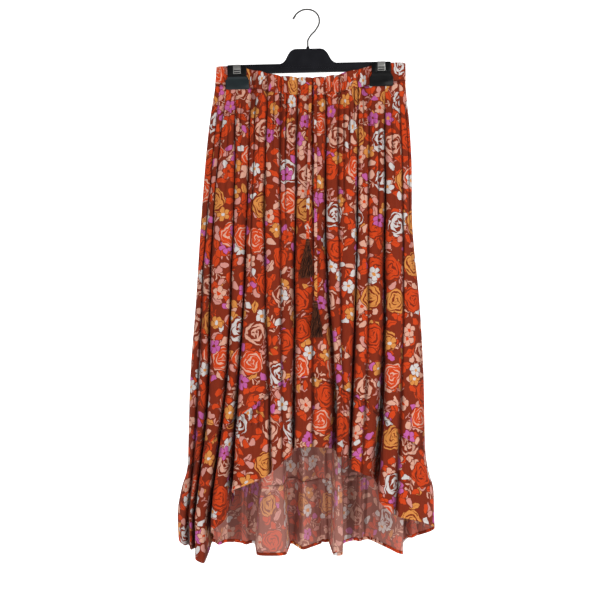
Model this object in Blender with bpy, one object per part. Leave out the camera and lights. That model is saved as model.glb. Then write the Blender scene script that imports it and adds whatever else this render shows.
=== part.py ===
"""A long gathered skirt with a flounce and two tasselled ties, hanging flat in a clip hanger.

Metres, +Z up. The skirt's front faces -Y. The origin is the top of the space inside the hook,
where the hook hangs. The tables are in millimetres.
"""

import math
from collections import namedtuple

import bmesh
import bpy
from mathutils import Vector

MM = 0.001

# Cloth
CLOTH_WALL = 1.6 * MM
BAND_WALL = 2.4 * MM
BAND_HEIGHT = 40 * MM
SEAM_GAP = 0.8 * MM
FLOUNCE_GAP = 1.4 * MM  # downwards; less across the seam where it runs steeply
SIDE_GAP = 1.4 * MM  # from the hanging plane to the middle of the wall, at the side seams
LAYER_GAP = 2.2 * MM  # from the hanging plane to the deepest fold of either layer
LOBE_SWELL = 0.15  # of its width, that the cloth between two folds stands forward
MOST_SWELL = 5 * MM

# Hanger, in its own upright frame
TILT = math.radians(1.3)
BAR_HALF_LENGTH = 172 * MM
BAR_HALF_DEPTH = 4.5 * MM
BAR_TOP = -118 * MM
BAR_BOTTOM = -135 * MM
HUMP_TOP = -86 * MM
HUMP_HALF_TOP = 31 * MM
HUMP_HALF_FOOT = 60 * MM
HUMP_ROUND = 6 * MM
HUMP_STEPS = 8  # on each of its hollow flanks
BAR_EDGE = 1.4 * MM
COLLAR_TOP = -80 * MM
COLLAR_RADIUS = 4 * MM
COLLAR_TAPER = 0.7
COLLAR_ROOT = 3 * MM
WIRE_RADIUS = 1.5 * MM
HOOK_SOCKET = 8 * MM
HOOK_ROUTE = [  # the middle of the wire, across and up, before its straight shank
    (-29, -18),
    (-19, -4),
    (0, 1.5),
    (20, -7),
    (26.5, -25),
    (19, -43),
    (5.5, -58),
    (0, -70),
]
TOUCH = 0.3 * MM  # between pieces that rest on each other
CLIP_PLACES = {"left": -160 * MM, "right": 160 * MM}
LEVER_HALF_WIDTH = 21 * MM
LEVER_INSIDE = 8 * MM
LEVER_FACE = 10.5 * MM
LEVER_FOOT = -141 * MM
LEVER_FOOT_INSIDE = -138 * MM
PAD_HALF_WIDTH = 25.5 * MM
PAD_TOP = -141.5 * MM
PAD_TOP_INSIDE = -143.5 * MM
PAD_TOP_FACE = -147 * MM
PAD_BOTTOM = -172.5 * MM
PAD_FACE = 6.4 * MM
PAD_SLOPE = 1.3 * MM  # by which its face stands further out at the top
PAD_CHAMFER = 3 * MM
SPRING_HALF_WIDTH = 7.5 * MM
SPRING_THICK = 0.8 * MM
SPRING_BOTTOM = -135 * MM

# Where the clips hold the cloth: how far each layer lies from the hanging plane there
BESIDE_BAR = 6.3 * MM
BETWEEN_PADS = 1.7 * MM
CLIP_REACH = 47 * MM
FREE_BELOW = 90 * MM  # from the pads down to where the cloth hangs freely
BAR_ROOM = 2 * MM  # that loose cloth keeps from the bar, and below its edge
BAR_END_ROOM = 3 * MM

# The skirt's flattened tube: its side edges, and how far front and back stand out
Ring = namedtuple("Ring", "height left right front back")
RINGS = [
    Ring(-120, -198, 216, 12, 12),
    Ring(-170, -202, 217, 13, 13),
    Ring(-240, -213, 224, 21, 19),
    Ring(-335, -223, 230, 29, 26),
    Ring(-480, -234, 232, 38, 35),
    Ring(-640, -244, 247, 48, 45),
    Ring(-800, -256, 256, 57, 56),
    Ring(-970, -261, 260, 66, 66),
    Ring(-1010, -263, 266, 70, 71),
    Ring(-1050, -275, 277, 74, 77),
    Ring(-1105, -284, 279, 78, 83),
    Ring(-1200, -279, 283, 82, 90),
]

# Folds that run down the cloth, left to right as seen from the front: where each lies and how
# far it goes in at the waist, thigh, knee and hem, its half width and half floor at the hem,
# how far its floor leans to the right there, and the hem's height on its left and right.
FOLD_LEVELS = (-170, -500, -850, -1100)
WAIST_MOUTH = 3.5  # half width of a fold at the waist, and half its floor there
WAIST_FLOOR = 1.5
Fold = namedtuple("Fold", "across inward mouth floor lean hem_left hem_right")
FRONT_FOLDS = [
    Fold((-191, -222, -238, -257), (4, 9, 13, 20), 5, 2.0, 0, -1167, -1169),
    Fold((-177, -207, -217, -243), (4, 13, 24, 40), 5, 2.0, 3, -1172, -1190),
    Fold((-157, -160, -179, -211), (5, 14, 26, 60), 6, 2.5, 5, -1197, -1129),
    Fold((-124, -132, -151, -171), (6, 16, 28, 54), 6, 2.5, 8, -1101, -1041),
    Fold((-88, -93, -84, -76), (6, 11, 8, 14), 5, 2.0, 3, -1009, -1005),
    Fold((-58, -58, -54, -51), (5, 4, 3, 5), 4, 1.5, 0, -985, -979),
    Fold((-20, -26, -30, -31), (7, 16, 22, 28), 6, 2.0, 2, -966, -950),
    Fold((12, 13, 12, 10), (4, 5, 4, 4), 4, 1.5, 0, -949, -949),
    Fold((40, 38, 54, 48), (7, 18, 22, 26), 12, 3.0, 8, -950, -970),
    Fold((68, 68, 76, 69), (5, 5, 3, 2), 3, 1.5, 0, -969, -970),
    Fold((111, 107, 95, 84), (6, 18, 26, 38), 6, 2.0, 5, -972, -995),
    Fold((135, 132, 125, 104), (4, 6, 4, 4), 4, 1.5, 0, -1002, -1006),
    Fold((171, 166, 158, 136), (6, 20, 28, 56), 13, 3.0, 12, -1010, -1062),
    Fold((201, 209, 201, 186), (4, 7, 8, 12), 5, 2.0, 3, -1092, -1096),
]
BACK_FOLDS = [
    Fold((-168, -176, -188, -199), (5, 12, 14, 20), 8, 2.0, 0, -1194, -1196),
    Fold((-112, -118, -125, -138), (6, 10, 12, 10), 6, 2.0, 0, -1200, -1200),
    Fold((-66, -70, -74, -78), (7, 16, 30, 82), 34, 27.0, 0, -1201, -1201),
    Fold((-20, -14, -6, 3), (5, 12, 18, 44), 27, 2.0, -10, -1202, -1202),
    Fold((24, 30, 38, 43), (5, 8, 8, 8), 6, 2.0, 0, -1197, -1197),
    Fold((62, 66, 68, 70), (7, 16, 32, 86), 13, 8.0, 0, -1202, -1202),
    Fold((104, 112, 118, 122), (5, 9, 12, 12), 6, 2.0, 0, -1193, -1193),
    Fold((148, 160, 172, 181), (6, 18, 32, 72), 30, 6.0, 24, -1185, -1205),
    Fold((192, 204, 216, 238), (5, 8, 10, 12), 6, 2.0, 0, -1180, -1174),
]
HEM_AT_SIDES = (-1160, -1141)
SEAM_AT_SIDES = (-1020, -985)  # of the flounce's seam
FRONT_SEAM_MIDDLE = -800
BACK_SEAM_MIDDLE = -1055
FRONT_ARCH = 1.6  # power of the front seam's arch across the skirt, and of the back's
BACK_ARCH = 3.0
GATHER_AT_BAND = 1.2 * MM
GATHER_AT_WAIST = 2.2 * MM
GATHER_AT_FLOUNCE = 5.0 * MM
GATHER_FADE = 90 * MM
BAND_WAVES = 1  # gathers on each lobe between two folds
FLOUNCE_WAVES = 3

# The waist's top edge: straight between its ends but for a sag between the clips
WAIST_LEFT = (-198, -126)
WAIST_RIGHT = (216, -117)
WAIST_SAG = 31 * MM
SAG_CENTRE = 4 * MM
SAG_REACH = 150 * MM

# Ties: the middle of each, from the waistband's face down to its tassel, across, forward and up
TIE_WIDTH = 7 * MM
TIE_THICK = 2 * MM
TIE_STEP = 24 * MM  # the longest stretch between two points of a tie
TIE_ROUTES = {
    "left": [
        (6.6, -18.2, -171),
        (6.6, -20.4, -171.3),
        (6.6, -21.6, -174.5),
        (6.6, -21.8, -180),
        (6.4, -27.4, -198),
        (6.2, -30.0, -220),
        (5.9, -32.1, -242),
        (5.5, -34.1, -265),
        (5.0, -36.0, -288),
        (4.4, -37.9, -311),
        (3.8, -39.5, -334),
        (3.2, -41.0, -357),
        (2.6, -42.6, -380),
        (2.2, -44.3, -402),
        (1.7, -47.6, -424),
        (1.4, -52.3, -446),
        (1.2, -56.6, -467),
        (1.1, -58.9, -488),
        (1.0, -59.5, -508),
    ],
    "right": [
        (18.5, -17.8, -171),
        (18.5, -20.0, -171.3),
        (18.5, -21.2, -174.5),
        (18.5, -21.4, -180),
        (18.5, -26.5, -198),
        (18.5, -29.1, -221),
        (18.4, -31.2, -244),
        (18.4, -33.1, -267),
        (18.4, -35.0, -290),
        (18.3, -36.7, -313),
        (18.3, -38.2, -336),
        (18.3, -39.6, -360),
        (18.3, -41.1, -383),
        (18.2, -42.5, -407),
        (18.2, -43.8, -431),
        (18.2, -45.3, -455),
        (18.1, -46.9, -479),
        (18.1, -48.7, -503),
        (18.1, -51.6, -526),
        (18.0, -56.3, -549),
        (18.0, -60.9, -572),
        (18.0, -64.5, -595),
        (18.0, -66.4, -618),
        (18.0, -67.0, -640),
    ],
}
TASSEL_DROP = {"left": 84 * MM, "right": 78 * MM}
TASSEL_HEAD = 15 * MM
TASSEL_HEAD_HALF = (5.0 * MM, 4.2 * MM)
TASSEL_HEAD_TAPER = 0.62
TASSEL_FOOT_HALF = (15 * MM, 5.5 * MM)
TASSEL_STRANDS = (7, 5)
STRAND_EDGE = 0.22 * MM  # between a strand's root and the rim of its patch of the head
STRAND_UNEVEN = 0.03  # of its length
STRAND_BEAT = (900, 2100)  # how fast that changes across the head, in radians per metre

COLUMNS = {"turn": 4, "wall": 1, "floor": 1, "lobe": 4}
FLOUNCE_COLUMNS = {"turn": 8, "wall": 1, "floor": 1, "lobe": 8}
WIDE_FLOOR_COLUMNS = 4  # for a fold whose half floor is over WIDE_FLOOR
WIDE_FLOOR = 5
LOBE_EDGE = 0.12  # where the first column of a lobe lies, as a part of its width


def between(levels, values, at):
    """The smooth curve through (level, value) pairs, which run downwards, read at a height."""
    if at >= levels[0]:
        return values[0]
    if at <= levels[-1]:
        return values[-1]
    k = next(i for i in range(len(levels) - 1) if at >= levels[i + 1])
    slopes = []
    for i in (k, k + 1):
        low, high = max(i - 1, 0), min(i + 1, len(levels) - 1)
        slopes.append((values[high] - values[low]) / (levels[high] - levels[low]))
    span = levels[k + 1] - levels[k]
    t = (at - levels[k]) / span
    return (
        values[k] * (1 + 2 * t) * (1 - t) ** 2
        + values[k + 1] * t * t * (3 - 2 * t)
        + slopes[0] * span * t * (1 - t) ** 2
        - slopes[1] * span * t * t * (1 - t)
    )


def ease(t):
    """0 to 1 with a level start and end."""
    t = min(max(t, 0.0), 1.0)
    return t * t * (3 - 2 * t)


def ring(name, height):
    """One column of RINGS at a height, in metres."""
    levels = [row.height * MM for row in RINGS]
    return between(levels, [getattr(row, name) * MM for row in RINGS], height)


def share_across(x, height):
    """-1 at the left edge of the tube, 1 at its right edge."""
    left, right = ring("left", height), ring("right", height)
    return max(-1.0, min(1.0, (2 * x - left - right) / (right - left)))


def on_hanger(x, height):
    """The same place in the hanger's own frame, which leans by TILT."""
    cos, sin = math.cos(TILT), math.sin(TILT)
    return x * cos + height * sin, height * cos - x * sin


def clip_profile(height):
    """How far a held layer lies from the hanging plane: beside the bar, then between pads."""
    pressed = ease((BAR_BOTTOM - height) / (BAR_BOTTOM - PAD_TOP))
    return BESIDE_BAR + (BETWEEN_PADS - BESIDE_BAR) * pressed


def gripped(x):
    """1 between a clip's jaws, 0 away from it."""
    nearest = min(abs(x - place) for place in CLIP_PLACES.values())
    return math.exp(-((nearest / CLIP_REACH) ** 10))


def freedom(x, height):
    """0 where the clips press the cloth, 1 where it hangs freely."""
    below = ease((PAD_BOTTOM - height) / FREE_BELOW)
    return 1 - gripped(x) * (1 - below)


def stand_out(layer, x, height):
    """How far the front or back layer stands from the hanging plane, without its folds."""
    round_off = math.sqrt(1 - share_across(x, height) ** 4)
    free = ring(layer, height) * round_off
    spot = on_hanger(x, height)
    clipped = clip_profile(spot[1]) * min(1.0, 3 * round_off)
    share = freedom(*spot)
    return clipped + (free - clipped) * share


Knot = namedtuple("Knot", "fold side deep")
Station = namedtuple("Station", "kind start stop t")


def knots_of(folds):
    """The section's corners: left seam, each fold's mouth and floor, right seam."""
    corners = ((-1, 0), (-1, 1), (1, 1), (1, 0))
    inner = [Knot(fold, side, deep) for fold in folds for side, deep in corners]
    return [Knot(None, -1, 0)] + inner + [Knot(None, 1, 0)]


def stations_of(folds, columns):
    """Every column of a layer, from its left seam to its right one."""
    knots = knots_of(folds)
    found = []
    for index, (start, stop) in enumerate(zip(knots, knots[1:])):
        if start.fold is None or stop.fold is None:
            kind = "turn"
        else:
            kind = ("wall", "floor", "wall", "lobe")[(index - 1) % 4]
        wide = kind == "floor" and start.fold.floor > WIDE_FLOOR
        count = WIDE_FLOOR_COLUMNS if wide else columns[kind]
        found += [Station(kind, start, stop, t) for t in steps_of(kind, count)]
    return found + [Station("turn", knots[-2], knots[-1], 1.0)]


def steps_of(kind, count):
    """The shares of a stretch where its columns lie, without its end."""
    if kind != "lobe":
        return [i / count for i in range(count)]
    inner = count - 2
    body = [LOBE_EDGE + (1 - 2 * LOBE_EDGE) * i / inner for i in range(inner + 1)]
    return [0.0] + body


def corner(knot, height):
    """Where a knot lies across, and how far in, at a height."""
    if knot.fold is None:
        return ring("left" if knot.side < 0 else "right", height), 0.0
    levels = [level * MM for level in FOLD_LEVELS]
    fold = knot.fold
    centre = between(levels, [value * MM for value in fold.across], height)
    inward = between(levels, [value * MM for value in fold.inward], height)
    grown = max(0.0, (levels[0] - height) / (levels[0] - levels[-1])) ** 2
    mouth = (WAIST_MOUTH + (fold.mouth - WAIST_MOUTH) * grown) * MM
    floor = (WAIST_FLOOR + (fold.floor - WAIST_FLOOR) * grown) * MM
    if knot.deep:
        lean = fold.lean * inward / fold.inward[-1]
        return centre + knot.side * floor + lean, inward
    return centre + knot.side * mouth, 0.0


def across_at(station, height):
    """The place across the skirt of a column at a height."""
    start, stop = corner(station.start, height)[0], corner(station.stop, height)[0]
    t = station.t
    if station.kind == "turn":
        t = t * t if station.start.fold is None else 1 - (1 - t) ** 2
    return start + (stop - start) * t


def height_along(station, height_of):
    """A height given for the two knots of a stretch, read at a column between them."""
    return height_of(station.start) * (1 - station.t) + height_of(station.stop) * station.t


def gather_wave(station, waves):
    """1 on the crest of a gather and -1 between two, for a number of waves on each lobe."""
    if station.kind != "lobe" or station.t == 0:
        return 0.0
    return math.cos(2 * math.pi * waves * (station.t - LOBE_EDGE) / (1 - 2 * LOBE_EDGE))


def beside_bar(x, height):
    """Whether the bar is between the layers here."""
    spot = on_hanger(x, height)
    return abs(spot[0]) < BAR_HALF_LENGTH + BAR_END_ROOM and spot[1] > BAR_BOTTOM - BAR_ROOM


def at_side(station):
    """Whether a column is a side seam."""
    first = station.start.fold is None and station.t == 0
    return first or station.stop.fold is None and station.t == 1


def cloth_point(layer, station, height, gather):
    """A point of the middle of the cloth, on the front or the back layer."""
    x = across_at(station, height)
    outward = stand_out(layer, x, height)
    start, stop = corner(station.start, height), corner(station.stop, height)
    inward = start[1] + (stop[1] - start[1]) * station.t
    loose = freedom(*on_hanger(x, height))
    swell = min(LOBE_SWELL * (stop[0] - start[0]), MOST_SWELL) * (1 - (2 * station.t - 1) ** 4)
    if station.kind == "lobe":
        inward -= swell
    elif station.kind == "floor":
        inward += swell
    inward -= gather
    inward = min(inward * loose, max(outward - LAYER_GAP, 0.0))
    y = max(outward - inward, SIDE_GAP)
    if at_side(station):
        y = SIDE_GAP
    elif beside_bar(x, height):
        y = max(y, BESIDE_BAR + BAR_ROOM * loose)
    return Vector((x, -y if layer == "front" else y, height))


def waist_height(knot):
    """The height of the waist's top edge at a knot."""
    x = corner(knot, FOLD_LEVELS[0] * MM)[0]
    share = (x - WAIST_LEFT[0] * MM) / ((WAIST_RIGHT[0] - WAIST_LEFT[0]) * MM)
    edge = (WAIST_LEFT[1] + (WAIST_RIGHT[1] - WAIST_LEFT[1]) * share) * MM
    sag = max(0.0, 1 - ((x - SAG_CENTRE) / SAG_REACH) ** 2)
    return edge - WAIST_SAG * sag


def seam_height(layer):
    """The height of the flounce's seam at a knot: an arch in front, nearly level behind."""
    middle = FRONT_SEAM_MIDDLE if layer == "front" else BACK_SEAM_MIDDLE
    power = FRONT_ARCH if layer == "front" else BACK_ARCH

    def height_of(knot):
        knee = FOLD_LEVELS[2] * MM
        share = share_across(corner(knot, knee)[0], knee)
        side = SEAM_AT_SIDES[0] if share < 0 else SEAM_AT_SIDES[1]
        return (middle + (side - middle) * abs(share) ** power) * MM

    return height_of


def hem_height(knot):
    """The height of the hem at a knot."""
    if knot.fold is None:
        return HEM_AT_SIDES[0 if knot.side < 0 else 1] * MM
    left, right = knot.fold.hem_left, knot.fold.hem_right
    third = (right - left) / 3
    heights = {(-1, 0): left, (-1, 1): left + third, (1, 1): right - third, (1, 0): right}
    return heights[(knot.side, knot.deep)] * MM


def remove_everything():
    for item in list(bpy.data.objects):
        bpy.data.objects.remove(item, do_unlink=True)


def material(name, colour, roughness, metallic=0.0):
    """A Principled material. The colour is linear."""
    made = bpy.data.materials.new(name)
    made.use_nodes = True
    shader = made.node_tree.nodes["Principled BSDF"]
    shader.inputs["Base Color"].default_value = (*colour, 1.0)
    shader.inputs["Roughness"].default_value = roughness
    shader.inputs["Metallic"].default_value = metallic
    return made


def add_object(name, data, finish):
    """A new object in the scene, with its own copy of a finish."""
    item = bpy.data.objects.new(name, data)
    bpy.context.scene.collection.objects.link(item)
    data.materials.append(finish.copy())
    return item


def add_mesh(name, shape, finish):
    """An object from a bmesh, which is freed."""
    data = bpy.data.meshes.new(name)
    shape.to_mesh(data)
    shape.free()
    return add_object(name, data, finish)


def sheet(name, rows, wall, finish, faces_front):
    """A closed wall of cloth around a grid of points, its outside towards the viewer's side."""
    shape = bmesh.new()
    grid = [[shape.verts.new(point) for point in row] for row in rows]
    for upper, lower in zip(grid, grid[1:]):
        for a, b, c, d in zip(upper, upper[1:], lower[1:], lower):
            shape.faces.new((d, c, b, a) if faces_front else (a, b, c, d))
    item = add_mesh(name, shape, finish)
    solid = item.modifiers.new("wall", "SOLIDIFY")
    solid.thickness = wall
    solid.offset = 0.0
    solid.use_quality_normals = True
    return item


def waistband(layer, folds, finish):
    """The elastic casing, with its puckers. Two of its rows bend where the clips press it."""
    shares = ((0.0, None), (0.33, BAR_BOTTOM), (0.52, PAD_TOP), (0.76, None), (1.0, None))
    columns = stations_of(folds, COLUMNS)
    rows = []
    for share, bend in shares:
        row = []
        for column in columns:
            height = height_along(column, waist_height) - share * BAND_HEIGHT
            if bend:
                spot = on_hanger(across_at(column, height), height)
                height += (bend - spot[1]) * gripped(spot[0])
            gather = GATHER_AT_BAND * gather_wave(column, BAND_WAVES)
            row.append(cloth_point(layer, column, height, gather))
        rows.append(row)
    return sheet("waistband_" + layer, rows, BAND_WALL, finish, layer == "front")


def panel(layer, folds, finish):
    """The long panel from the waistband down to the flounce's seam."""
    shares = (0.0, 0.03, 0.08, 0.16, 0.3, 0.47, 0.65, 0.83, 1.0)
    columns = stations_of(folds, COLUMNS)
    seam = seam_height(layer)
    rows = []
    for share in shares:
        row = []
        for column in columns:
            top = height_along(column, waist_height) - BAND_HEIGHT - SEAM_GAP
            height = top + (height_along(column, seam) - top) * share
            fade = math.exp(-(top - height) / GATHER_FADE)
            gather = GATHER_AT_WAIST * gather_wave(column, BAND_WAVES) * fade
            row.append(cloth_point(layer, column, height, gather))
        rows.append(row)
    return sheet(layer + "_panel", rows, CLOTH_WALL, finish, layer == "front")


def flounce(layer, folds, finish):
    """The gathered strip from the seam down to the hem."""
    shares = (0.0, 0.08, 0.42, 1.0)
    columns = stations_of(folds, FLOUNCE_COLUMNS)
    seam = seam_height(layer)
    rows = []
    for share in shares:
        row = []
        for column in columns:
            top = height_along(column, seam) - FLOUNCE_GAP
            height = top + (height_along(column, hem_height) - top) * share
            fade = math.exp(-(top - height) / GATHER_FADE) if share else 0.0
            gather = GATHER_AT_FLOUNCE * gather_wave(column, FLOUNCE_WAVES) * fade
            row.append(cloth_point(layer, column, height, gather))
        rows.append(row)
    return sheet(layer + "_ruffle", rows, CLOTH_WALL, finish, layer == "front")


def tie_path(side):
    """The middle of a tie, read from the smooth curve through its route."""
    across, forward, levels = zip(*[[value * MM for value in spot] for spot in TIE_ROUTES[side]])
    points = []
    for upper, lower in zip(levels, levels[1:]):
        count = math.ceil((upper - lower) / TIE_STEP)
        for i in range(count):
            height = upper + (lower - upper) * i / count
            spot = (between(levels, across, height), between(levels, forward, height), height)
            points.append(Vector(spot))
    return points + [Vector((across[-1], forward[-1], levels[-1]))]


def tie(side, finish):
    """A flat tie with rounded edges, from the waistband down to its tassel."""
    points = tie_path(side)
    data = bpy.data.curves.new("drawstring_" + side, "CURVE")
    data.dimensions = "3D"
    spline = data.splines.new("POLY")
    spline.points.add(len(points) - 1)
    for target, point in zip(spline.points, points):
        target.co = (*point, 1.0)
        target.tilt = math.pi / 2
    data.bevel_depth = TIE_THICK / 2
    data.bevel_resolution = 2
    data.extrude = (TIE_WIDTH - TIE_THICK) / 2
    data.use_fill_caps = True
    return add_object("drawstring_" + side, data, finish)


def tassel(side, finish):
    """A bound head with strands that spread below it, each fused to the head at its root."""
    top = tie_path(side)[-1]
    top.z -= TOUCH
    across, deep = TASSEL_STRANDS
    drop = TASSEL_DROP[side]
    shape = bmesh.new()
    bmesh.ops.create_grid(shape, x_segments=across, y_segments=deep, size=1.0)
    bottom = list(shape.faces)
    for vertex in shape.verts:
        reach = max(abs(vertex.co.x), abs(vertex.co.y), 1e-9)
        vertex.co.xy *= reach / max(vertex.co.xy.length, 1e-9)  # the square becomes a disc
        vertex.co.x *= TASSEL_HEAD_HALF[0]
        vertex.co.y *= TASSEL_HEAD_HALF[1]
    rim_faces = bmesh.ops.extrude_face_region(shape, geom=bottom)["geom"]
    for vertex in [item for item in rim_faces if isinstance(item, bmesh.types.BMVert)]:
        vertex.co.z += TASSEL_HEAD
        vertex.co.xy *= TASSEL_HEAD_TAPER
    bmesh.ops.reverse_faces(shape, faces=bottom)
    bmesh.ops.inset_individual(shape, faces=bottom, thickness=STRAND_EDGE)
    bmesh.ops.recalc_face_normals(shape, faces=shape.faces)
    roots = {face: face.calc_center_median() for face in bottom}
    strands_down(shape, roots, drop - TASSEL_HEAD)
    bmesh.ops.translate(shape, verts=shape.verts, vec=top - Vector((0, 0, TASSEL_HEAD)))
    return add_mesh("tassel_" + side, shape, finish)


def strands_down(shape, roots, length):
    """Draws each strand out from its root, spread towards the tassel's foot."""
    for face, root in roots.items():
        strand_end = bmesh.ops.extrude_discrete_faces(shape, faces=[face])["faces"][0]
        foot_x = root.x * TASSEL_FOOT_HALF[0] / TASSEL_HEAD_HALF[0]
        foot_y = root.y * TASSEL_FOOT_HALF[1] / TASSEL_HEAD_HALF[1]
        beat = STRAND_BEAT[0] * root.x + STRAND_BEAT[1] * root.y
        uneven = STRAND_UNEVEN * math.sin(beat)
        move = Vector((foot_x - root.x, foot_y - root.y, -length * (1 + uneven)))
        bmesh.ops.translate(shape, verts=strand_end.verts, vec=move)


def prism(name, outline, low, high, axis, finish):
    """An outline, in metres, drawn out from low to high along x or y."""
    shape = bmesh.new()
    if axis == "y":
        near = [shape.verts.new((u, low, v)) for u, v in outline]
        step = Vector((0, high - low, 0))
    else:
        near = [shape.verts.new((low, u, v)) for u, v in outline]
        step = Vector((high - low, 0, 0))
    face = shape.faces.new(near)
    made = bmesh.ops.extrude_face_region(shape, geom=[face])["geom"]
    moved = [item for item in made if isinstance(item, bmesh.types.BMVert)]
    bmesh.ops.translate(shape, verts=moved, vec=step)
    bmesh.ops.recalc_face_normals(shape, faces=shape.faces)
    return add_mesh(name, shape, finish)


def combine(item, tool, operation):
    """A Boolean with a helper that isn't part of the model."""
    tool.hide_render = True
    tool.display_type = "WIRE"
    step = item.modifiers.new(operation.lower(), "BOOLEAN")
    step.operation = operation
    step.object = tool


def soften(item, width):
    """Takes the sharpness off the edges of a moulded piece."""
    edge = item.modifiers.new("edges", "BEVEL")
    edge.width = width
    edge.segments = 1
    edge.limit_method = "ANGLE"
    edge.angle_limit = math.radians(40)


def turned(name, radii, finish, sides=16):
    """A round piece about the z axis from (radius, height) pairs, top to bottom."""
    shape = bmesh.new()
    rings = []
    for radius, height in radii:
        angles = [2 * math.pi * i / sides for i in range(sides)]
        spots = [(radius * math.cos(a), radius * math.sin(a), height) for a in angles]
        rings.append([shape.verts.new(spot) for spot in spots])
    shape.faces.new(rings[0])
    shape.faces.new(list(reversed(rings[-1])))
    for upper, lower in zip(rings, rings[1:]):
        for i in range(sides):
            k = (i + 1) % sides
            shape.faces.new((upper[i], lower[i], lower[k], upper[k]))
    bmesh.ops.recalc_face_normals(shape, faces=shape.faces)
    return add_mesh(name, shape, finish)


def hanger_bar(upright, finish):
    """The bar with its raised middle, the collar on top and the socket that the hook sits in."""
    flank_top = (HUMP_HALF_TOP + HUMP_ROUND, HUMP_TOP - HUMP_ROUND)
    flank = []
    for i in range(HUMP_STEPS + 1):
        t = i / HUMP_STEPS
        x = flank_top[0] + (HUMP_HALF_FOOT - flank_top[0]) * t
        flank.append((x, flank_top[1] + (BAR_TOP - flank_top[1]) * ease(t)))
    turn = math.radians(45)
    crown = [
        (HUMP_HALF_TOP, HUMP_TOP),
        (HUMP_HALF_TOP + HUMP_ROUND * math.sin(turn), HUMP_TOP - HUMP_ROUND * (1 - math.cos(turn))),
    ]
    right = crown + flank + [(BAR_HALF_LENGTH, BAR_TOP), (BAR_HALF_LENGTH, BAR_BOTTOM)]
    outline = right + [(-x, z) for x, z in reversed(right)]
    bar = prism("hanger_bar", outline, -BAR_HALF_DEPTH, BAR_HALF_DEPTH, "y", finish)
    soften(bar, BAR_EDGE)
    low = HUMP_TOP - COLLAR_ROOT
    rim = COLLAR_RADIUS * COLLAR_TAPER
    profile = [(rim, COLLAR_TOP), (COLLAR_RADIUS, HUMP_TOP), (COLLAR_RADIUS, low)]
    collar = turned("collar_shape", profile, finish)
    combine(bar, collar, "UNION")
    bore = WIRE_RADIUS + TOUCH
    depth = COLLAR_TOP - HOOK_SOCKET
    socket = turned("socket_shape", [(bore, COLLAR_TOP + BAR_ROOM), (bore, depth)], finish)
    combine(bar, socket, "DIFFERENCE")
    for item in (bar, collar, socket):
        item.parent = upright
    return bar


def hanger_hook(upright, finish):
    """The wire: round over the top, then curving back to a straight shank in the collar."""
    foot = COLLAR_TOP - HOOK_SOCKET + TOUCH
    route = [(x * MM, z * MM) for x, z in HOOK_ROUTE] + [(0.0, foot)]
    data = bpy.data.curves.new("hanger_hook", "CURVE")
    data.dimensions = "3D"
    spline = data.splines.new("BEZIER")
    spline.bezier_points.add(len(route) - 1)
    for target, (x, z) in zip(spline.bezier_points, route):
        target.co = (x, 0.0, z)
        target.handle_left_type = "AUTO"
        target.handle_right_type = "AUTO"
    for target in spline.bezier_points[-2:]:
        target.handle_left_type = "VECTOR"
        target.handle_right_type = "VECTOR"
    spline.bezier_points[-2].handle_left_type = "ALIGNED"
    data.resolution_u = 4
    data.bevel_depth = WIRE_RADIUS
    data.bevel_resolution = 1
    data.use_fill_caps = True
    hook = add_object("hanger_hook", data, finish)
    hook.parent = upright
    return hook


def jaw(side, face, upright, finish):
    """A clip's front (face -1) or back (face 1) jaw: a lever beside the bar and a pad below."""
    pad_inside = BETWEEN_PADS + BAND_WALL / 2 + 2 * TOUCH
    section = [
        (LEVER_FACE, BAR_TOP),
        (LEVER_INSIDE, BAR_TOP),
        (LEVER_INSIDE, LEVER_FOOT_INSIDE),
        (pad_inside, PAD_TOP_INSIDE),
        (pad_inside, PAD_BOTTOM),
        (PAD_FACE, PAD_BOTTOM),
        (PAD_FACE + PAD_SLOPE, PAD_TOP_FACE),
        (LEVER_FACE, LEVER_FOOT),
    ]
    section = [(face * u, v) for u, v in section]
    place = CLIP_PLACES[side]
    name = "clip_" + side + "_jaw_" + ("front" if face < 0 else "back")
    reach = PAD_HALF_WIDTH + MM
    item = prism(name, section, place - reach, place + reach, "x", finish)
    half = [
        (LEVER_HALF_WIDTH, BAR_TOP + MM),
        (LEVER_HALF_WIDTH, PAD_TOP + MM),
        (PAD_HALF_WIDTH, PAD_TOP - PAD_CHAMFER),
        (PAD_HALF_WIDTH, PAD_BOTTOM + PAD_CHAMFER),
        (PAD_HALF_WIDTH - PAD_CHAMFER, PAD_BOTTOM - TOUCH),
    ]
    outline = [(place + x, z) for x, z in half] + [(place - x, z) for x, z in reversed(half)]
    past = 2 * LEVER_FACE
    shape = prism(name + "_outline", outline, -past, past, "y", finish)
    combine(item, shape, "INTERSECT")
    for piece in (item, shape):
        piece.parent = upright
    return item


def clip_spring(side, upright, finish):
    """A bent steel strip over the bar that presses both levers together."""
    outer = LEVER_FACE + TOUCH + SPRING_THICK
    inner = LEVER_FACE + TOUCH
    under = BAR_TOP + TOUCH
    right = [(outer, SPRING_BOTTOM), (outer, under), (outer - SPRING_THICK, under + SPRING_THICK)]
    section = right + [(-u, v) for u, v in reversed(right)]
    section += [(-inner, SPRING_BOTTOM), (-inner, under), (inner, under), (inner, SPRING_BOTTOM)]
    place = CLIP_PLACES[side]
    low, high = place - SPRING_HALF_WIDTH, place + SPRING_HALF_WIDTH
    item = prism("clip_" + side + "_spring", section, low, high, "x", finish)
    item.parent = upright
    return item


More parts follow.
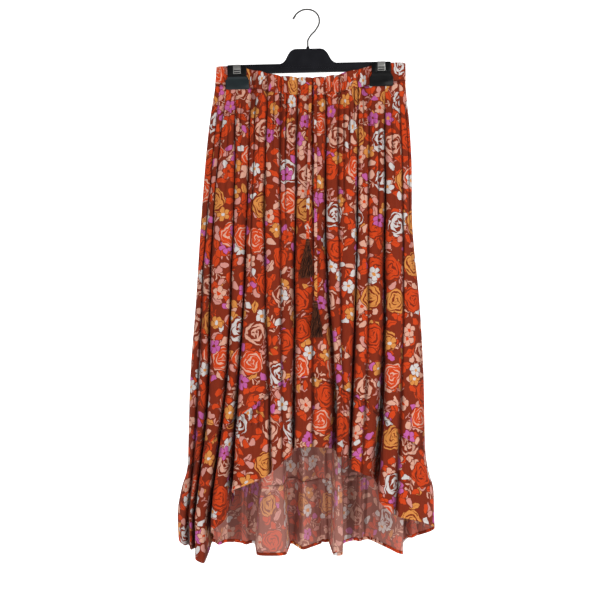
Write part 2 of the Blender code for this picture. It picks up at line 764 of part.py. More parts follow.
def main():
    remove_everything()
    print_cloth = material("printed_viscose", (0.42, 0.10, 0.05), 0.85)
    chocolate = material("tassel_yarn", (0.055, 0.022, 0.012), 0.9)
    plastic = material("black_plastic", (0.012, 0.012, 0.014), 0.45)
    steel = material("bent_steel", (0.62, 0.62, 0.60), 0.25, 1.0)
    for layer, folds in (("front", FRONT_FOLDS), ("back", BACK_FOLDS)):
        waistband(layer, folds, print_cloth)
        panel(layer, folds, print_cloth)
        flounce(layer, folds, print_cloth)
    for side in TIE_ROUTES:
        tie(side, print_cloth)
        tassel(side, chocolate)
    upright = bpy.data.objects.new("hanger_frame", None)
    bpy.context.scene.collection.objects.link(upright)
    upright.rotation_euler = (0.0, -TILT, 0.0)
    hanger_bar(upright, plastic)
    hanger_hook(upright, steel)
    for side in CLIP_PLACES:
        jaw(side, -1, upright, plastic)
        jaw(side, 1, upright, plastic)
        clip_spring(side, upright, steel)


main()
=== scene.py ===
import math
from collections import namedtuple

import bmesh
import bpy
import numpy as np
from mathutils import Matrix, Vector


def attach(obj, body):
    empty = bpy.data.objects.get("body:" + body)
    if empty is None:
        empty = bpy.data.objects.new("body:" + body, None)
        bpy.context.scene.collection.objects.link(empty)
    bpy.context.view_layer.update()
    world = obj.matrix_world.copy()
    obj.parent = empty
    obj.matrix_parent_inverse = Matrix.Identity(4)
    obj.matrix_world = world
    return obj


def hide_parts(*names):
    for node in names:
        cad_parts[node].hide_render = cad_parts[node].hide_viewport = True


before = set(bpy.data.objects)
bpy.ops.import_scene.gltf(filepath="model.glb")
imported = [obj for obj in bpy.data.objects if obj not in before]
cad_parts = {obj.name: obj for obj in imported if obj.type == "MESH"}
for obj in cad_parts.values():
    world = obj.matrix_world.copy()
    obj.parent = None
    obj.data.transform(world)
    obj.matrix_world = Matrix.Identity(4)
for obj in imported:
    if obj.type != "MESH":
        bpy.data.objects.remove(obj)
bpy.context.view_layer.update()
scene = bpy.context.scene
scene.view_settings.view_transform = "Standard"  # keeps the dyes as strong as they are given
mm = 0.001


# Small helpers

def linearOf(value):
    return value / 12.92 if value <= 0.04045 else ((value + 0.055) / 1.055) ** 2.4


def colourOf(hexText):
    # sRGB hex to a linear RGBA
    parts = [int(hexText[i:i + 2], 16) / 255 for i in (1, 3, 5)]
    return (*[linearOf(part) for part in parts], 1.0)


def addNode(tree, kind, inputs=(), out=0, **settings):
    # one node with its settings and links, and the output asked for. Inputs are numbers, colours
    # or other nodes' outputs, in their sockets' order or under their sockets' names or numbers:
    # a colour Mix has its share at 0, the colour below at 6 and the one above at 7.
    node = tree.nodes.new("ShaderNode" + kind)
    for name, value in settings.items():
        setattr(node, name, value)
    for key, value in (inputs if isinstance(inputs, dict) else dict(enumerate(inputs))).items():
        if isinstance(value, bpy.types.NodeSocket):
            tree.links.new(value, node.inputs[key])
        else:
            node.inputs[key].default_value = value
    return node.outputs[out]


def newMaterial(name, **shaderValues):
    # a Principled material: plain numbers go straight on the shader's own sockets
    made = bpy.data.materials.new(name)
    made.use_nodes = True
    shader = made.node_tree.nodes["Principled BSDF"]
    for socket, value in shaderValues.items():
        shader.inputs[socket.replace("_", " ")].default_value = value
    return made, made.node_tree, shader


def addPiece(name, data, materials, replaces=()):
    piece = bpy.data.objects.new(name, data)
    scene.collection.objects.link(piece)
    for item in materials:
        data.materials.append(item)
    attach(piece, "root")
    if replaces:
        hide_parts(*replaces)
    return piece


def meshFrom(name, points, faces):
    mesh = bpy.data.meshes.new(name)
    mesh.from_pydata([tuple(p) for p in points], [], [tuple(int(k) for k in f) for f in faces])
    mesh.polygons.foreach_set("use_smooth", [True] * len(mesh.polygons))
    return mesh


def setMap(mesh, flat):
    # the flat place of each point, in metres, as the map "cloth"
    layer = mesh.uv_layers.new(name="cloth")
    corners = np.zeros(len(mesh.loops), int)
    mesh.loops.foreach_get("vertex_index", corners)
    layer.data.foreach_set("uv", np.asarray(flat, float)[corners].ravel())


def ringsAlong(points, wideWay, halfWide, halfThick, sides, squareness=1.0):
    # sections round a line of points: halfWide towards wideWay, halfThick across it
    points = np.asarray(points, float)
    count = len(points)
    ahead = np.gradient(points, axis=0)
    ahead /= np.linalg.norm(ahead, axis=1, keepdims=True)
    wide = np.broadcast_to(np.asarray(wideWay, float), points.shape)
    wide = wide - (wide * ahead).sum(axis=1, keepdims=True) * ahead
    wide = wide / np.linalg.norm(wide, axis=1, keepdims=True)
    thick = np.cross(ahead, wide)
    turn = 2 * math.pi * (np.arange(sides) + 0.5) / sides
    u = np.sign(np.cos(turn)) * abs(np.cos(turn)) ** squareness
    v = np.sign(np.sin(turn)) * abs(np.sin(turn)) ** squareness
    halfWide = np.broadcast_to(halfWide, count)[:, None, None]
    halfThick = np.broadcast_to(halfThick, count)[:, None, None]
    return (points[:, None] + wide[:, None] * halfWide * u[None, :, None]
            + thick[:, None] * halfThick * v[None, :, None])


def tubeFaces(count, sides, first=0):
    # walls and end caps of one tube whose rings follow each other from point number first
    near = first + np.arange(count - 1)[:, None] * sides + np.arange(sides)[None, :]
    beside = first + np.arange(count - 1)[:, None] * sides + (np.arange(sides)[None, :] + 1) % sides
    walls = np.stack([near, beside, beside + sides, near + sides], axis=2).reshape(-1, 4).tolist()
    last = first + (count - 1) * sides
    return walls + [list(range(first + sides - 1, first - 1, -1)), list(range(last, last + sides))]


def tubesMesh(name, tubes):
    # one mesh from many tubes, each an array of rings
    faces, first = [], 0
    for rings in tubes:
        faces += tubeFaces(rings.shape[0], rings.shape[1], first)
        first += rings.shape[0] * rings.shape[1]
    return meshFrom(name, np.concatenate([rings.reshape(-1, 3) for rings in tubes]), faces)


def curveThrough(levels, values, at):
    # smooth curve through values at falling levels, held level past its ends
    levels, values = np.asarray(levels, float), np.asarray(values, float)
    at = np.clip(at, levels[-1], levels[0])
    k = np.clip(np.searchsorted(-levels, -at, side="right") - 1, 0, len(levels) - 2)
    number = np.arange(len(levels))
    low, high = np.maximum(number - 1, 0), np.minimum(number + 1, len(levels) - 1)
    slopes = (values[high] - values[low]) / (levels[high] - levels[low])
    span = levels[k + 1] - levels[k]
    t = (at - levels[k]) / span
    return (
        values[k] * (1 + 2 * t) * (1 - t) ** 2
        + values[k + 1] * t * t * (3 - 2 * t)
        + slopes[k] * span * t * (1 - t) ** 2
        - slopes[k + 1] * span * t * t * (1 - t)
    )


def ease(t):
    t = np.clip(t, 0.0, 1.0)
    return t * t * (3 - 2 * t)


unevenValues = {
    "waves": 4,  # that are added up
    "pace": (0.6, 1.6),  # radians to a step, of the slowest wave
    "faster": 1.7,  # each wave than the one before it, and how much weaker
    "weaker": 1.5,
    "planeWaves": 7,
    "planePace": 1.5,
    "planeShare": 3.2,  # brings the sum of the plane's waves to about 1
    "turn": 6.28,  # radians, a whole turn
}


def uneven(x, seed):
    # smooth 1-D unevenness from about -1 to 1, always the same for a seed
    source = np.random.default_rng(seed)
    total = np.zeros_like(x, dtype=float)
    for i in range(unevenValues["waves"]):
        turned = x * source.uniform(*unevenValues["pace"]) * unevenValues["faster"] ** i
        total += np.sin(turned + source.uniform(0, unevenValues["turn"])) / unevenValues["weaker"] ** i
    return total / 2


def unevenPlane(x, z, seed):
    # smooth 2-D unevenness from about -1 to 1
    source = np.random.default_rng(seed)
    total = np.zeros(np.broadcast(x, z).shape)
    pace = unevenValues["planePace"]
    for _ in range(unevenValues["planeWaves"]):
        across, down = source.uniform(-pace, pace), source.uniform(-pace, pace)
        total += np.sin(across * x + down * z + source.uniform(0, unevenValues["turn"]))
    return total / unevenValues["planeShare"]


# Camera: level, straight at the front

cameraValues = {
    "place": (-0.0154, -1.75, -0.638),
    "pictureWidth": 1.32,  # metres across the hanging plane
    "sensor": 36,
}


def addCamera(values):
    data = bpy.data.cameras.new("camera")
    data.sensor_width = values["sensor"]
    data.lens = data.sensor_width * -values["place"][1] / values["pictureWidth"]
    camera = bpy.data.objects.new("camera", data)
    scene.collection.objects.link(camera)
    camera.location = values["place"]
    camera.rotation_euler = (math.pi / 2, 0, 0)
    scene.camera = camera


addCamera(cameraValues)
print("camera ready")


# Crepe viscose, plain woven and rotary-screen printed: a matt cloth with a dense floral in
# chestnut, orange-red, tan, pink and white, every motif parted from the next by the ground.
# The wrong side shows the same print, paler and greyer, where the ink comes through.

printValues = {
    "ground": "#7c2b17",
    "orange": "#c94119",
    "tan": "#d08744",
    "peach": "#d5a08b",
    "dusty": "#cb8b80",
    "white": "#cdc6c3",
    "pink": "#bb5c9b",
    "wrongSide": "#c4a197",
    "wrongShare": 0.33,
    # painted shade: the dark maroon that the dyes are mixed towards deep in the folds
    "paintedShadeColour": "#36110b",
    "hollowShade": (0.80, 0.52),  # painted shade: how far the bottom of a fold is mixed towards the dark colour, outside and inside
    "bend": 9.0,  # mm, how far the hand-drawn outlines wander
    "bends": 0.075,  # to a millimetre: each wander is about 13 mm long
    "roses": (88, 28, 2.7),  # mm between motifs, the radius of one, and the shift of the layer
    "lowFlowers": (66, 15.5, 7.3),
    "topFlowers": (96, 15.5, 9.1),
    "ovals": (29, 9.5, 5.8, 5.9),  # mm between leaves, half their length and width, and the shift
    "leaves": (34, 14, 6.2, 1.4),
    "sprigs": (66, 3.3),  # mm between sprigs, and the shift
    "shiftDown": 1.7,  # how much further a layer is shifted down than across
    "thread": 0.9,  # mm between threads, three times the real spacing so that it shows
    "threadClose": 2.0,  # how much closer threads lie across the cloth than down it
    "threadShade": (0.26, 0.87),  # how far threads vary the dyes, and the darkest share
    "crinkles": (0.11, 0.035),  # to a millimetre: a crinkle is about 9 mm wide and 29 mm long
}


def pickColour(tree, chance, weighted):
    # a dye by chance: (dye, share) pairs, as the steps of a ramp
    picked = addNode(tree, "ValToRGB", [chance])
    ramp = picked.node.color_ramp
    ramp.interpolation = "CONSTANT"
    start, furthest = 0.0, 0.999
    for number, (dye, share) in enumerate(weighted):
        place = min(start, furthest)
        stop = ramp.elements[number] if number < len(ramp.elements) else ramp.elements.new(place)
        stop.position = place
        stop.color = colourOf(printValues[dye])
        start += share
    return picked


def scatter(tree, place, size, jitter, turn, shift):
    # the nearest motif's own coordinates in mm, turned at random, and its chance values
    turned = addNode(tree, "VectorRotate", {"Vector": place, "Angle": turn}, rotation_type="Z_AXIS")
    shifted = (shift, shift * printValues["shiftDown"], 0)
    scaled = addNode(tree, "VectorMath", [turned, (1 / size, 1 / size, 0), shifted], operation="MULTIPLY_ADD")
    middle = addNode(tree, "TexVoronoi", {"Vector": scaled, "Scale": 1.0, "Randomness": jitter},
                     out="Position", voronoi_dimensions="2D")
    chance = addNode(tree, "SeparateColor", [middle.node.outputs["Color"]]).node.outputs
    offset = addNode(tree, "VectorMath", [scaled, middle], operation="SUBTRACT")
    local = addNode(tree, "VectorMath", [offset, (size, size, 0)], operation="MULTIPLY")
    radius = addNode(tree, "VectorMath", [local], out="Value", operation="LENGTH")
    angle = addNode(tree, "Math", [chance[0], 2 * math.pi], operation="MULTIPLY")
    spun = addNode(tree, "VectorRotate", {"Vector": local, "Angle": angle}, rotation_type="Z_AXIS")
    x = addNode(tree, "SeparateXYZ", [spun])
    y = x.node.outputs[1]
    around = addNode(tree, "Math", [y, x], operation="ARCTAN2")
    return {"x": x, "y": y, "radius": radius, "around": around, "chance": chance}


def petalWave(tree, angle, count, phase):
    # what gives a motif its petals or lobes: a wave that goes round its middle
    spread = addNode(tree, "Math", [angle, count, phase], operation="MULTIPLY_ADD")
    return addNode(tree, "Math", [spread], operation="COSINE")


def drawOn(tree, below, inside, colour, rim):
    # a motif with a rim of ground colour round it; inside is in mm, above 0 within the motif
    ground = colourOf(printValues["ground"])
    rimmed = addNode(tree, "Math", [inside, -rim], operation="GREATER_THAN")
    body = addNode(tree, "Math", [inside, 0.0], operation="GREATER_THAN")
    edged = addNode(tree, "Mix", {0: rimmed, 6: below, 7: ground}, out=2, data_type="RGBA")
    return addNode(tree, "Mix", {0: body, 6: edged, 7: colour}, out=2, data_type="RGBA")


roseValues = {
    "jitter": 0.5,  # 0 sets the motifs in rows, 1 anywhere
    "turn": 0.5,  # radians, of the layer's rows
    "lobes": (5.0, 0.4),  # round the edge, and where the first begins
    "edge": (0.07, 0.92),  # parts of the radius: how far the lobes go out, and from where
    "spread": 6.0,  # radians of chance in where the strokes begin
    "wobble": (3.0, 0.26),  # waves round each ring of strokes, and their size in rings
    "rings": 3.9,
    "beat": 2.3,  # radians from one ring's strokes to the next ring's
    "strokes": 2.0,  # in each ring
    "pale": (0.665, 0.145),  # chance values with broad, pale strokes: their middle and reach
    "weight": (0.24, 0.27),  # of the strokes, in rings: what pale roses add, and what all have
    "strokeEnd": (0.94, 0.96),  # place in a ring that the weight counts from, and the cut
    "rim": 1.8,
    "body": (("orange", 0.36), ("tan", 0.16), ("ground", 0.29), ("orange", 0.19)),
    "line": (("peach", 0.20), ("ground", 0.32), ("white", 0.17), ("peach", 0.12), ("ground", 0.19)),
}


def roseLayer(tree, below, place, size, radius, shift):
    # full roses of tapering, crescent-shaped strokes, wound a little like a spiral: dark on a
    # coloured body, or pale and broad on the ground
    rose = roseValues
    cell = scatter(tree, place, size, rose["jitter"], rose["turn"] + shift, shift)
    chance, around = cell["chance"], cell["around"]
    lobes = petalWave(tree, around, *rose["lobes"])
    out, base = (share * radius for share in rose["edge"])
    edge = addNode(tree, "Math", [lobes, out, base], operation="MULTIPLY_ADD")
    inside = addNode(tree, "Math", [edge, cell["radius"]], operation="SUBTRACT")
    phase = addNode(tree, "Math", [chance[2], rose["spread"]], operation="MULTIPLY")
    waves, wander = rose["wobble"]
    wobble = petalWave(tree, around, waves, phase)
    turns = addNode(tree, "Math", [cell["radius"], rose["rings"] / radius], operation="MULTIPLY")
    bent = addNode(tree, "Math", [wobble, wander, turns], operation="MULTIPLY_ADD")
    wound = addNode(tree, "Math", [around, 1 / (2 * math.pi), bent], operation="MULTIPLY_ADD")
    ring = addNode(tree, "Math", [wound], operation="FLOOR")
    within = addNode(tree, "Math", [wound], operation="FRACT")
    beat = addNode(tree, "Math", [ring, rose["beat"], phase], operation="MULTIPLY_ADD")
    gate = petalWave(tree, around, rose["strokes"], beat)
    pale = addNode(tree, "Math", [chance[1], *rose["pale"]], operation="COMPARE")
    weight = addNode(tree, "Math", [pale, *rose["weight"]], operation="MULTIPLY_ADD")
    broad = addNode(tree, "Math", [gate, weight, weight], operation="MULTIPLY_ADD")
    countedFrom, cut = rose["strokeEnd"]
    start = addNode(tree, "Math", [countedFrom, broad], operation="SUBTRACT")
    begun = addNode(tree, "Math", [within, start], operation="GREATER_THAN")
    ended = addNode(tree, "Math", [within, cut], operation="LESS_THAN")
    stroke = addNode(tree, "Math", [begun, ended], operation="MULTIPLY")
    body = pickColour(tree, chance[1], rose["body"])
    line = pickColour(tree, chance[1], rose["line"])
    drawn = addNode(tree, "Mix", {0: stroke, 6: body, 7: line}, out=2, data_type="RGBA")
    return drawOn(tree, below, inside, drawn, rose["rim"])


flowerValues = {
    "jitter": 0.55,
    "turn": 1.2,
    "petals": (2.5, 0.0),  # half as many waves as petals, and where the first begins
    "fullness": 0.55,  # the smaller, the broader the petals
    "edge": (0.44, 0.54),  # parts of the radius: how far the petals go out, and from where
    "leftOut": (0.12, -4),  # share of motifs left out, and the radii that hide one
    "heart": 0.25,  # parts of the radius: the flower's middle, and the lines between its petals
    "parting": 0.28,
    "rim": 1.4,
}


def flowerLayer(tree, below, place, size, radius, shift, dyes, hearts):
    # open flowers of five round petals; the heart's dye goes with the petals'
    flower = flowerValues
    cell = scatter(tree, place, size, flower["jitter"], flower["turn"] + shift, shift)
    chance = cell["chance"]
    lobes = petalWave(tree, cell["around"], *flower["petals"])
    petals = addNode(tree, "Math", [lobes], operation="ABSOLUTE")
    rounded = addNode(tree, "Math", [petals, flower["fullness"]], operation="POWER")
    out, base = (share * radius for share in flower["edge"])
    edge = addNode(tree, "Math", [rounded, out, base], operation="MULTIPLY_ADD")
    inside = addNode(tree, "Math", [edge, cell["radius"]], operation="SUBTRACT")
    share, hiding = flower["leftOut"]
    left = addNode(tree, "Math", [chance[2], share], operation="LESS_THAN")
    inside = addNode(tree, "Math", [left, hiding * radius, inside], operation="MULTIPLY_ADD")
    body = pickColour(tree, chance[1], dyes)
    middle = addNode(tree, "Math", [cell["radius"], flower["heart"] * radius], operation="LESS_THAN")
    ends = addNode(tree, "Math", [cell["radius"], flower["parting"] / radius], operation="MULTIPLY")
    between = addNode(tree, "Math", [petals, ends], operation="LESS_THAN")
    ground = colourOf(printValues["ground"])
    parted = addNode(tree, "Mix", {0: between, 6: body, 7: ground}, out=2, data_type="RGBA")
    heart = pickColour(tree, chance[1], hearts)
    drawn = addNode(tree, "Mix", {0: middle, 6: parted, 7: heart}, out=2, data_type="RGBA")
    return drawOn(tree, below, inside, drawn, flower["rim"])


leafValues = {
    "jitter": 0.75,
    "turn": 2.1,
    "bow": 0.22,  # how far a leaf is bent, as a part of its width
    "vein": 0.7,  # mm, half the width of the widest
    "rim": 1.2,
}


def leafLayer(tree, below, place, size, long, wide, shift, dyes, pointed):
    # single leaves and loose petals: ovals, or pointed leaves with a vein
    leaf = leafValues
    cell = scatter(tree, place, size, leaf["jitter"], leaf["turn"] + shift, shift)
    chance = cell["chance"]
    along = addNode(tree, "Math", [cell["x"], long], operation="DIVIDE")
    squared = addNode(tree, "Math", [along, along], operation="MULTIPLY")
    bowed = addNode(tree, "Math", [squared, leaf["bow"] * wide, cell["y"]], operation="MULTIPLY_ADD")
    beside = addNode(tree, "Math", [bowed], operation="ABSOLUTE")
    body = pickColour(tree, chance[1], dyes)
    if pointed:
        edge = addNode(tree, "Math", [squared, -wide, wide], operation="MULTIPLY_ADD")
        inside = addNode(tree, "Math", [edge, beside], operation="SUBTRACT")
        half = addNode(tree, "Math", [chance[2], leaf["vein"]], operation="MULTIPLY")
        vein = addNode(tree, "Math", [beside, half], operation="LESS_THAN")
        ground = colourOf(printValues["ground"])
        body = addNode(tree, "Mix", {0: vein, 6: body, 7: ground}, out=2, data_type="RGBA")
    else:
        across = addNode(tree, "Math", [beside, wide], operation="DIVIDE")
        reach = addNode(tree, "Math", [across, across, squared], operation="MULTIPLY_ADD")
        reach = addNode(tree, "Math", [reach], operation="SQRT")
        inside = addNode(tree, "Math", [reach, -wide, wide], operation="MULTIPLY_ADD")
    return drawOn(tree, below, inside, body, leaf["rim"])


sprigValues = {
    "jitter": 0.5,
    "turn": 0.2,
    "step": 12.0,  # mm between pairs of leaves
    "leafLong": 5.0,
    "leafWide": 2.7,
    "leafFrom": 1.25,  # half lengths from the stem to a leaf's middle
    "slant": 0.75,
    "stem": 0.6,  # mm, half its width
    "half": 0.42,  # of a sprig's length, as a part of the space between sprigs
    "rim": 0.9,
}


def sprigLayer(tree, below, place, size, shift, dyes):
    # a stem with pairs of small slanting leaves
    sprig = sprigValues
    cell = scatter(tree, place, size, sprig["jitter"], sprig["turn"] + shift, shift)
    beside = addNode(tree, "Math", [cell["y"]], operation="ABSOLUTE")
    slid = addNode(tree, "Math", [beside, -sprig["slant"], cell["x"]], operation="MULTIPLY_ADD")
    along = addNode(tree, "Math", [slid, sprig["step"] / 2], operation="PINGPONG")
    reach = addNode(tree, "Math", [beside, 1 / sprig["leafLong"], -sprig["leafFrom"]],
                    operation="MULTIPLY_ADD")
    reach = addNode(tree, "Math", [reach, reach], operation="MULTIPLY")
    edge = addNode(tree, "Math", [reach, -sprig["leafWide"], sprig["leafWide"]], operation="MULTIPLY_ADD")
    leaf = addNode(tree, "Math", [edge, along], operation="SUBTRACT")
    stem = addNode(tree, "Math", [sprig["stem"], beside], operation="SUBTRACT")
    drawn = addNode(tree, "Math", [leaf, stem], operation="MAXIMUM")
    ends = addNode(tree, "Math", [sprig["half"] * size, cell["radius"]], operation="SUBTRACT")
    inside = addNode(tree, "Math", [drawn, ends], operation="MINIMUM")
    return drawOn(tree, below, inside, pickColour(tree, cell["chance"][1], dyes), sprig["rim"])


def makePrint(values):
    # all motifs, lowest first, on a place given in mm
    tree = bpy.data.node_groups.new("floral print", "ShaderNodeTree")
    tree.interface.new_socket("Place", in_out="INPUT", socket_type="NodeSocketVector")
    tree.interface.new_socket("Colour", in_out="OUTPUT", socket_type="NodeSocketColor")
    given, result = tree.nodes.new("NodeGroupInput"), tree.nodes.new("NodeGroupOutput")
    wander = addNode(tree, "TexNoise", {"Vector": given.outputs[0], "Scale": values["bends"], "Detail": 1.0},
                     out="Color", noise_dimensions="2D")
    place = addNode(tree, "VectorMath", [wander, (values["bend"], values["bend"], 0), given.outputs[0]],
                    operation="MULTIPLY_ADD")
    colour = colourOf(values["ground"])
    colour = sprigLayer(tree, colour, place, *values["sprigs"],
                        (("peach", 0.4), ("dusty", 0.35), ("orange", 0.25)))
    colour = leafLayer(tree, colour, place, *values["leaves"],
                       (("orange", 0.6), ("dusty", 0.18), ("tan", 0.12), ("peach", 0.1)), True)
    colour = leafLayer(tree, colour, place, *values["ovals"],
                       (("dusty", 0.26), ("peach", 0.2), ("orange", 0.36), ("white", 0.1), ("pink", 0.08)),
                       False)
    colour = flowerLayer(tree, colour, place, *values["lowFlowers"],
                         (("pink", 0.24), ("white", 0.16), ("tan", 0.22), ("peach", 0.16), ("orange", 0.22)),
                         (("ground", 0.14), ("tan", 0.26), ("white", 0.22), ("orange", 0.16),
                          ("ground", 0.22)))
    colour = roseLayer(tree, colour, place, *values["roses"])
    colour = flowerLayer(tree, colour, place, *values["topFlowers"],
                         (("white", 0.28), ("pink", 0.26), ("tan", 0.26), ("peach", 0.2)),
                         (("tan", 0.28), ("ground", 0.26), ("white", 0.26), ("orange", 0.2)))
    tree.links.new(colour, result.inputs[0])
    return tree


floralPrint = makePrint(printValues)


def viscose(name, wrong=False):
    # roughness 0.85, hardly any shine: dull crepe that shows its dyes at full strength
    made, tree, shader = newMaterial(name, Roughness=0.85, Sheen_Weight=0.02, Sheen_Roughness=0.5,
                                     Specular_IOR_Level=0.08)
    flat = addNode(tree, "UVMap", uv_map="cloth")
    place = addNode(tree, "VectorMath", [flat, (1 / mm, 1 / mm, 0)], operation="MULTIPLY")
    colour = addNode(tree, "Group", [place], node_tree=floralPrint)
    pitch = 1 / printValues["thread"]
    closeness = (printValues["threadClose"] * pitch, pitch, 1)
    threadPlace = addNode(tree, "VectorMath", [place, closeness], operation="MULTIPLY")
    threads = addNode(tree, "TexNoise", {"Vector": threadPlace, "Scale": 1.0, "Detail": 1.0},
                      noise_dimensions="2D")
    crinklePlace = addNode(tree, "VectorMath", [place, (*printValues["crinkles"], 1)], operation="MULTIPLY")
    crinkles = addNode(tree, "TexNoise", {"Vector": crinklePlace, "Scale": 1.0, "Detail": 3.0},
                       noise_dimensions="2D")
    if wrong:
        paler = {0: printValues["wrongShare"], 6: colour, 7: colourOf(printValues["wrongSide"])}
        colour = addNode(tree, "Mix", paler, out=2, data_type="RGBA")
    # painted shade: where the cloth lies deep in a fold or crease, or along a seam, its dyes are mixed
    # towards a dark maroon, outside on the right side and inside on the wrong side
    paintedShade = addNode(tree, "Attribute", out="Fac", attribute_name="paintedShade")
    facing = addNode(tree, "Math", [paintedShade, -1.0 if wrong else 1.0], operation="MULTIPLY", use_clamp=True)
    depth = addNode(tree, "Math", [facing, printValues["hollowShade"][wrong]], operation="MULTIPLY")
    shade = addNode(tree, "Math", [threads, *printValues["threadShade"]], operation="MULTIPLY_ADD")
    dyed = addNode(tree, "VectorMath", [colour, shade], operation="MULTIPLY")
    deep = colourOf(printValues["paintedShadeColour"])
    shaded = addNode(tree, "Mix", {0: depth, 6: dyed, 7: deep}, out=2, data_type="RGBA")
    tree.links.new(shaded, shader.inputs["Base Color"])
    soft = addNode(tree, "Bump", {"Height": crinkles, "Strength": 0.4, "Distance": 0.004})
    fine = addNode(tree, "Bump", {"Height": threads, "Strength": 0.25, "Distance": 0.0003, "Normal": soft})
    tree.links.new(fine, shader.inputs["Normal"])
    return made


rightSide = viscose("printed crepe viscose, right side")
wrongSide = viscose("printed crepe viscose, wrong side", wrong=True)


def sewingThread():
    # spun polyester thread, twisted: chestnut, a touch paler than the ground, with the slanting
    # lines of its plies 0.35 mm apart
    made, tree, shader = newMaterial("spun polyester sewing thread", Roughness=0.6)
    place = addNode(tree, "TexCoord", out="Object")
    twist = addNode(tree, "TexWave", {"Vector": place, "Scale": 900.0, "Distortion": 1.0}, out="Fac")
    dyes = {0: twist, 6: colourOf("#6d2415"), 7: colourOf("#8f3a26")}
    colour = addNode(tree, "Mix", dyes, out=2, data_type="RGBA")
    tree.links.new(colour, shader.inputs["Base Color"])
    return made


def tasselYarn():
    # rayon yarn in dark chocolate, loosely twisted: streaks of light and dark, 0.7 mm wide and
    # 11 mm long, and a little shine
    made, tree, shader = newMaterial("twisted rayon tassel yarn", Roughness=0.7, Specular_IOR_Level=0.15)
    place = addNode(tree, "TexCoord", out="Object")
    streaksInMetre = (1500, 1500, 90)
    strands = addNode(tree, "VectorMath", [place, streaksInMetre], operation="MULTIPLY")
    streaks = addNode(tree, "TexNoise", {"Vector": strands, "Scale": 1.0, "Detail": 2.0})
    strand = addNode(tree, "NewGeometry", out="Random Per Island")
    mixed = addNode(tree, "Math", [streaks, 0.5, strand], operation="MULTIPLY_ADD")
    sharp = addNode(tree, "MapRange", {"Value": mixed, "From Min": 0.4, "From Max": 1.25})
    dyes = {0: sharp, 6: colourOf("#210c07"), 7: colourOf("#7c4329")}
    colour = addNode(tree, "Mix", dyes, out=2, data_type="RGBA")
    tree.links.new(colour, shader.inputs["Base Color"])
    ply = addNode(tree, "Bump", {"Height": streaks, "Strength": 0.5, "Distance": 0.0004})
    tree.links.new(ply, shader.inputs["Normal"])
    return made


thread = sewingThread()
yarn = tasselYarn()
print("cloth and yarn ready")


# Ties: flat strips of the print that come out of the waistband and end in tassels. The routes
# give the middle of each, across, forward and up, in mm.

tieValues = {
    "width": 7.0,
    "thick": 1.3,
    "step": 4.0,  # between sections
    "flutter": 0.35,  # of the edges, sideways, and how often
    "flutterLong": 14,
    "twist": (0.10, 60),  # radians, and the mm over which a strip turns one way
    "twistFrom": 20,
    "seed": {"left": 61, "right": 71},
    "sides": 12,
    "squareness": 0.45,
    "exitRing": (4.6, 1.3, 0.45),  # half length, half height and half thickness of a bound slit
    "exitSunk": 1.0,
    "exitStitches": 20,
    "exitBulge": 0.22,
    "exitPoints": 61,
    "exitSides": 8,
    "cutFrom": {"left": 268, "right": 512},  # mm across the print where each strip was cut
}
tieRoutes = {
    "left": [
        (6.6, -18.2, -171),
        (6.6, -20.4, -171.3),
        (6.6, -21.6, -174.5),
        (6.6, -21.8, -180),
        (6.4, -27.4, -198),
        (6.2, -30.0, -220),
        (5.9, -32.1, -242),
        (5.5, -34.1, -265),
        (5.0, -36.0, -288),
        (4.4, -37.9, -311),
        (3.8, -39.5, -334),
        (3.2, -41.0, -357),
        (2.6, -42.6, -380),
        (2.2, -44.3, -402),
        (1.7, -47.6, -424),
        (1.4, -52.3, -446),
        (1.2, -56.6, -467),
        (1.1, -58.9, -488),
        (1.0, -59.5, -508),
    ],
    "right": [
        (18.5, -17.8, -171),
        (18.5, -20.0, -171.3),
        (18.5, -21.2, -174.5),
        (18.5, -21.4, -180),
        (18.5, -26.5, -198),
        (18.5, -29.1, -221),
        (18.4, -31.2, -244),
        (18.4, -33.1, -267),
        (18.4, -35.0, -290),
        (18.3, -36.7, -313),
        (18.3, -38.2, -336),
        (18.3, -39.6, -360),
        (18.3, -41.1, -383),
        (18.2, -42.5, -407),
        (18.2, -43.8, -431),
        (18.2, -45.3, -455),
        (18.1, -46.9, -479),
        (18.1, -48.7, -503),
        (18.1, -51.6, -526),
        (18.0, -56.3, -549),
        (18.0, -60.9, -572),
        (18.0, -64.5, -595),
        (18.0, -66.4, -618),
        (18.0, -67.0, -640),
    ],
}


def tieLine(side, step):
    # the route's points and evenly spaced ones between them
    across, forward, levels = (np.array(column, float) for column in zip(*tieRoutes[side]))
    heights = [levels[0]]
    for upper, lower in zip(levels, levels[1:]):
        count = max(2, math.ceil((upper - lower) / step))
        heights += [upper + (lower - upper) * (i + 1) / count for i in range(count)]
    heights = np.array(heights)
    places = [curveThrough(levels, given, heights) for given in (across, forward)]
    return np.stack([*places, heights], axis=1)


def addTie(side, values):
    line = tieLine(side, values["step"])
    count = len(line)
    steps = np.linalg.norm(np.diff(line, axis=0), axis=1)
    down = np.concatenate([[0], np.cumsum(steps)])
    seed, (twist, twistLong) = values["seed"][side], values["twist"]
    turned = twist * uneven(down / twistLong, seed) * np.minimum(1, down / values["twistFrom"])
    wideWay = np.stack([np.cos(turned), np.sin(turned), np.zeros(count)], axis=1)
    flutter = values["flutter"] * uneven(down / values["flutterLong"], seed + 1)
    half = values["width"] / 2 + flutter - values["flutter"]
    rings = ringsAlong(line, wideWay, half, values["thick"] / 2, values["sides"], values["squareness"])
    mesh = tubesMesh("tie" + side.title(), [rings * mm])
    across = (rings - line[:, None])[:, :, 0]
    along = np.repeat(-down[:, None], values["sides"], axis=1)
    flat = np.stack([across + values["cutFrom"][side], along], axis=2)
    setMap(mesh, flat.reshape(-1, 2) * mm)
    tie = addPiece("tie" + side.title(), mesh, (rightSide,), ("drawstring_" + side,))
    return tie, line, float(down[-1])


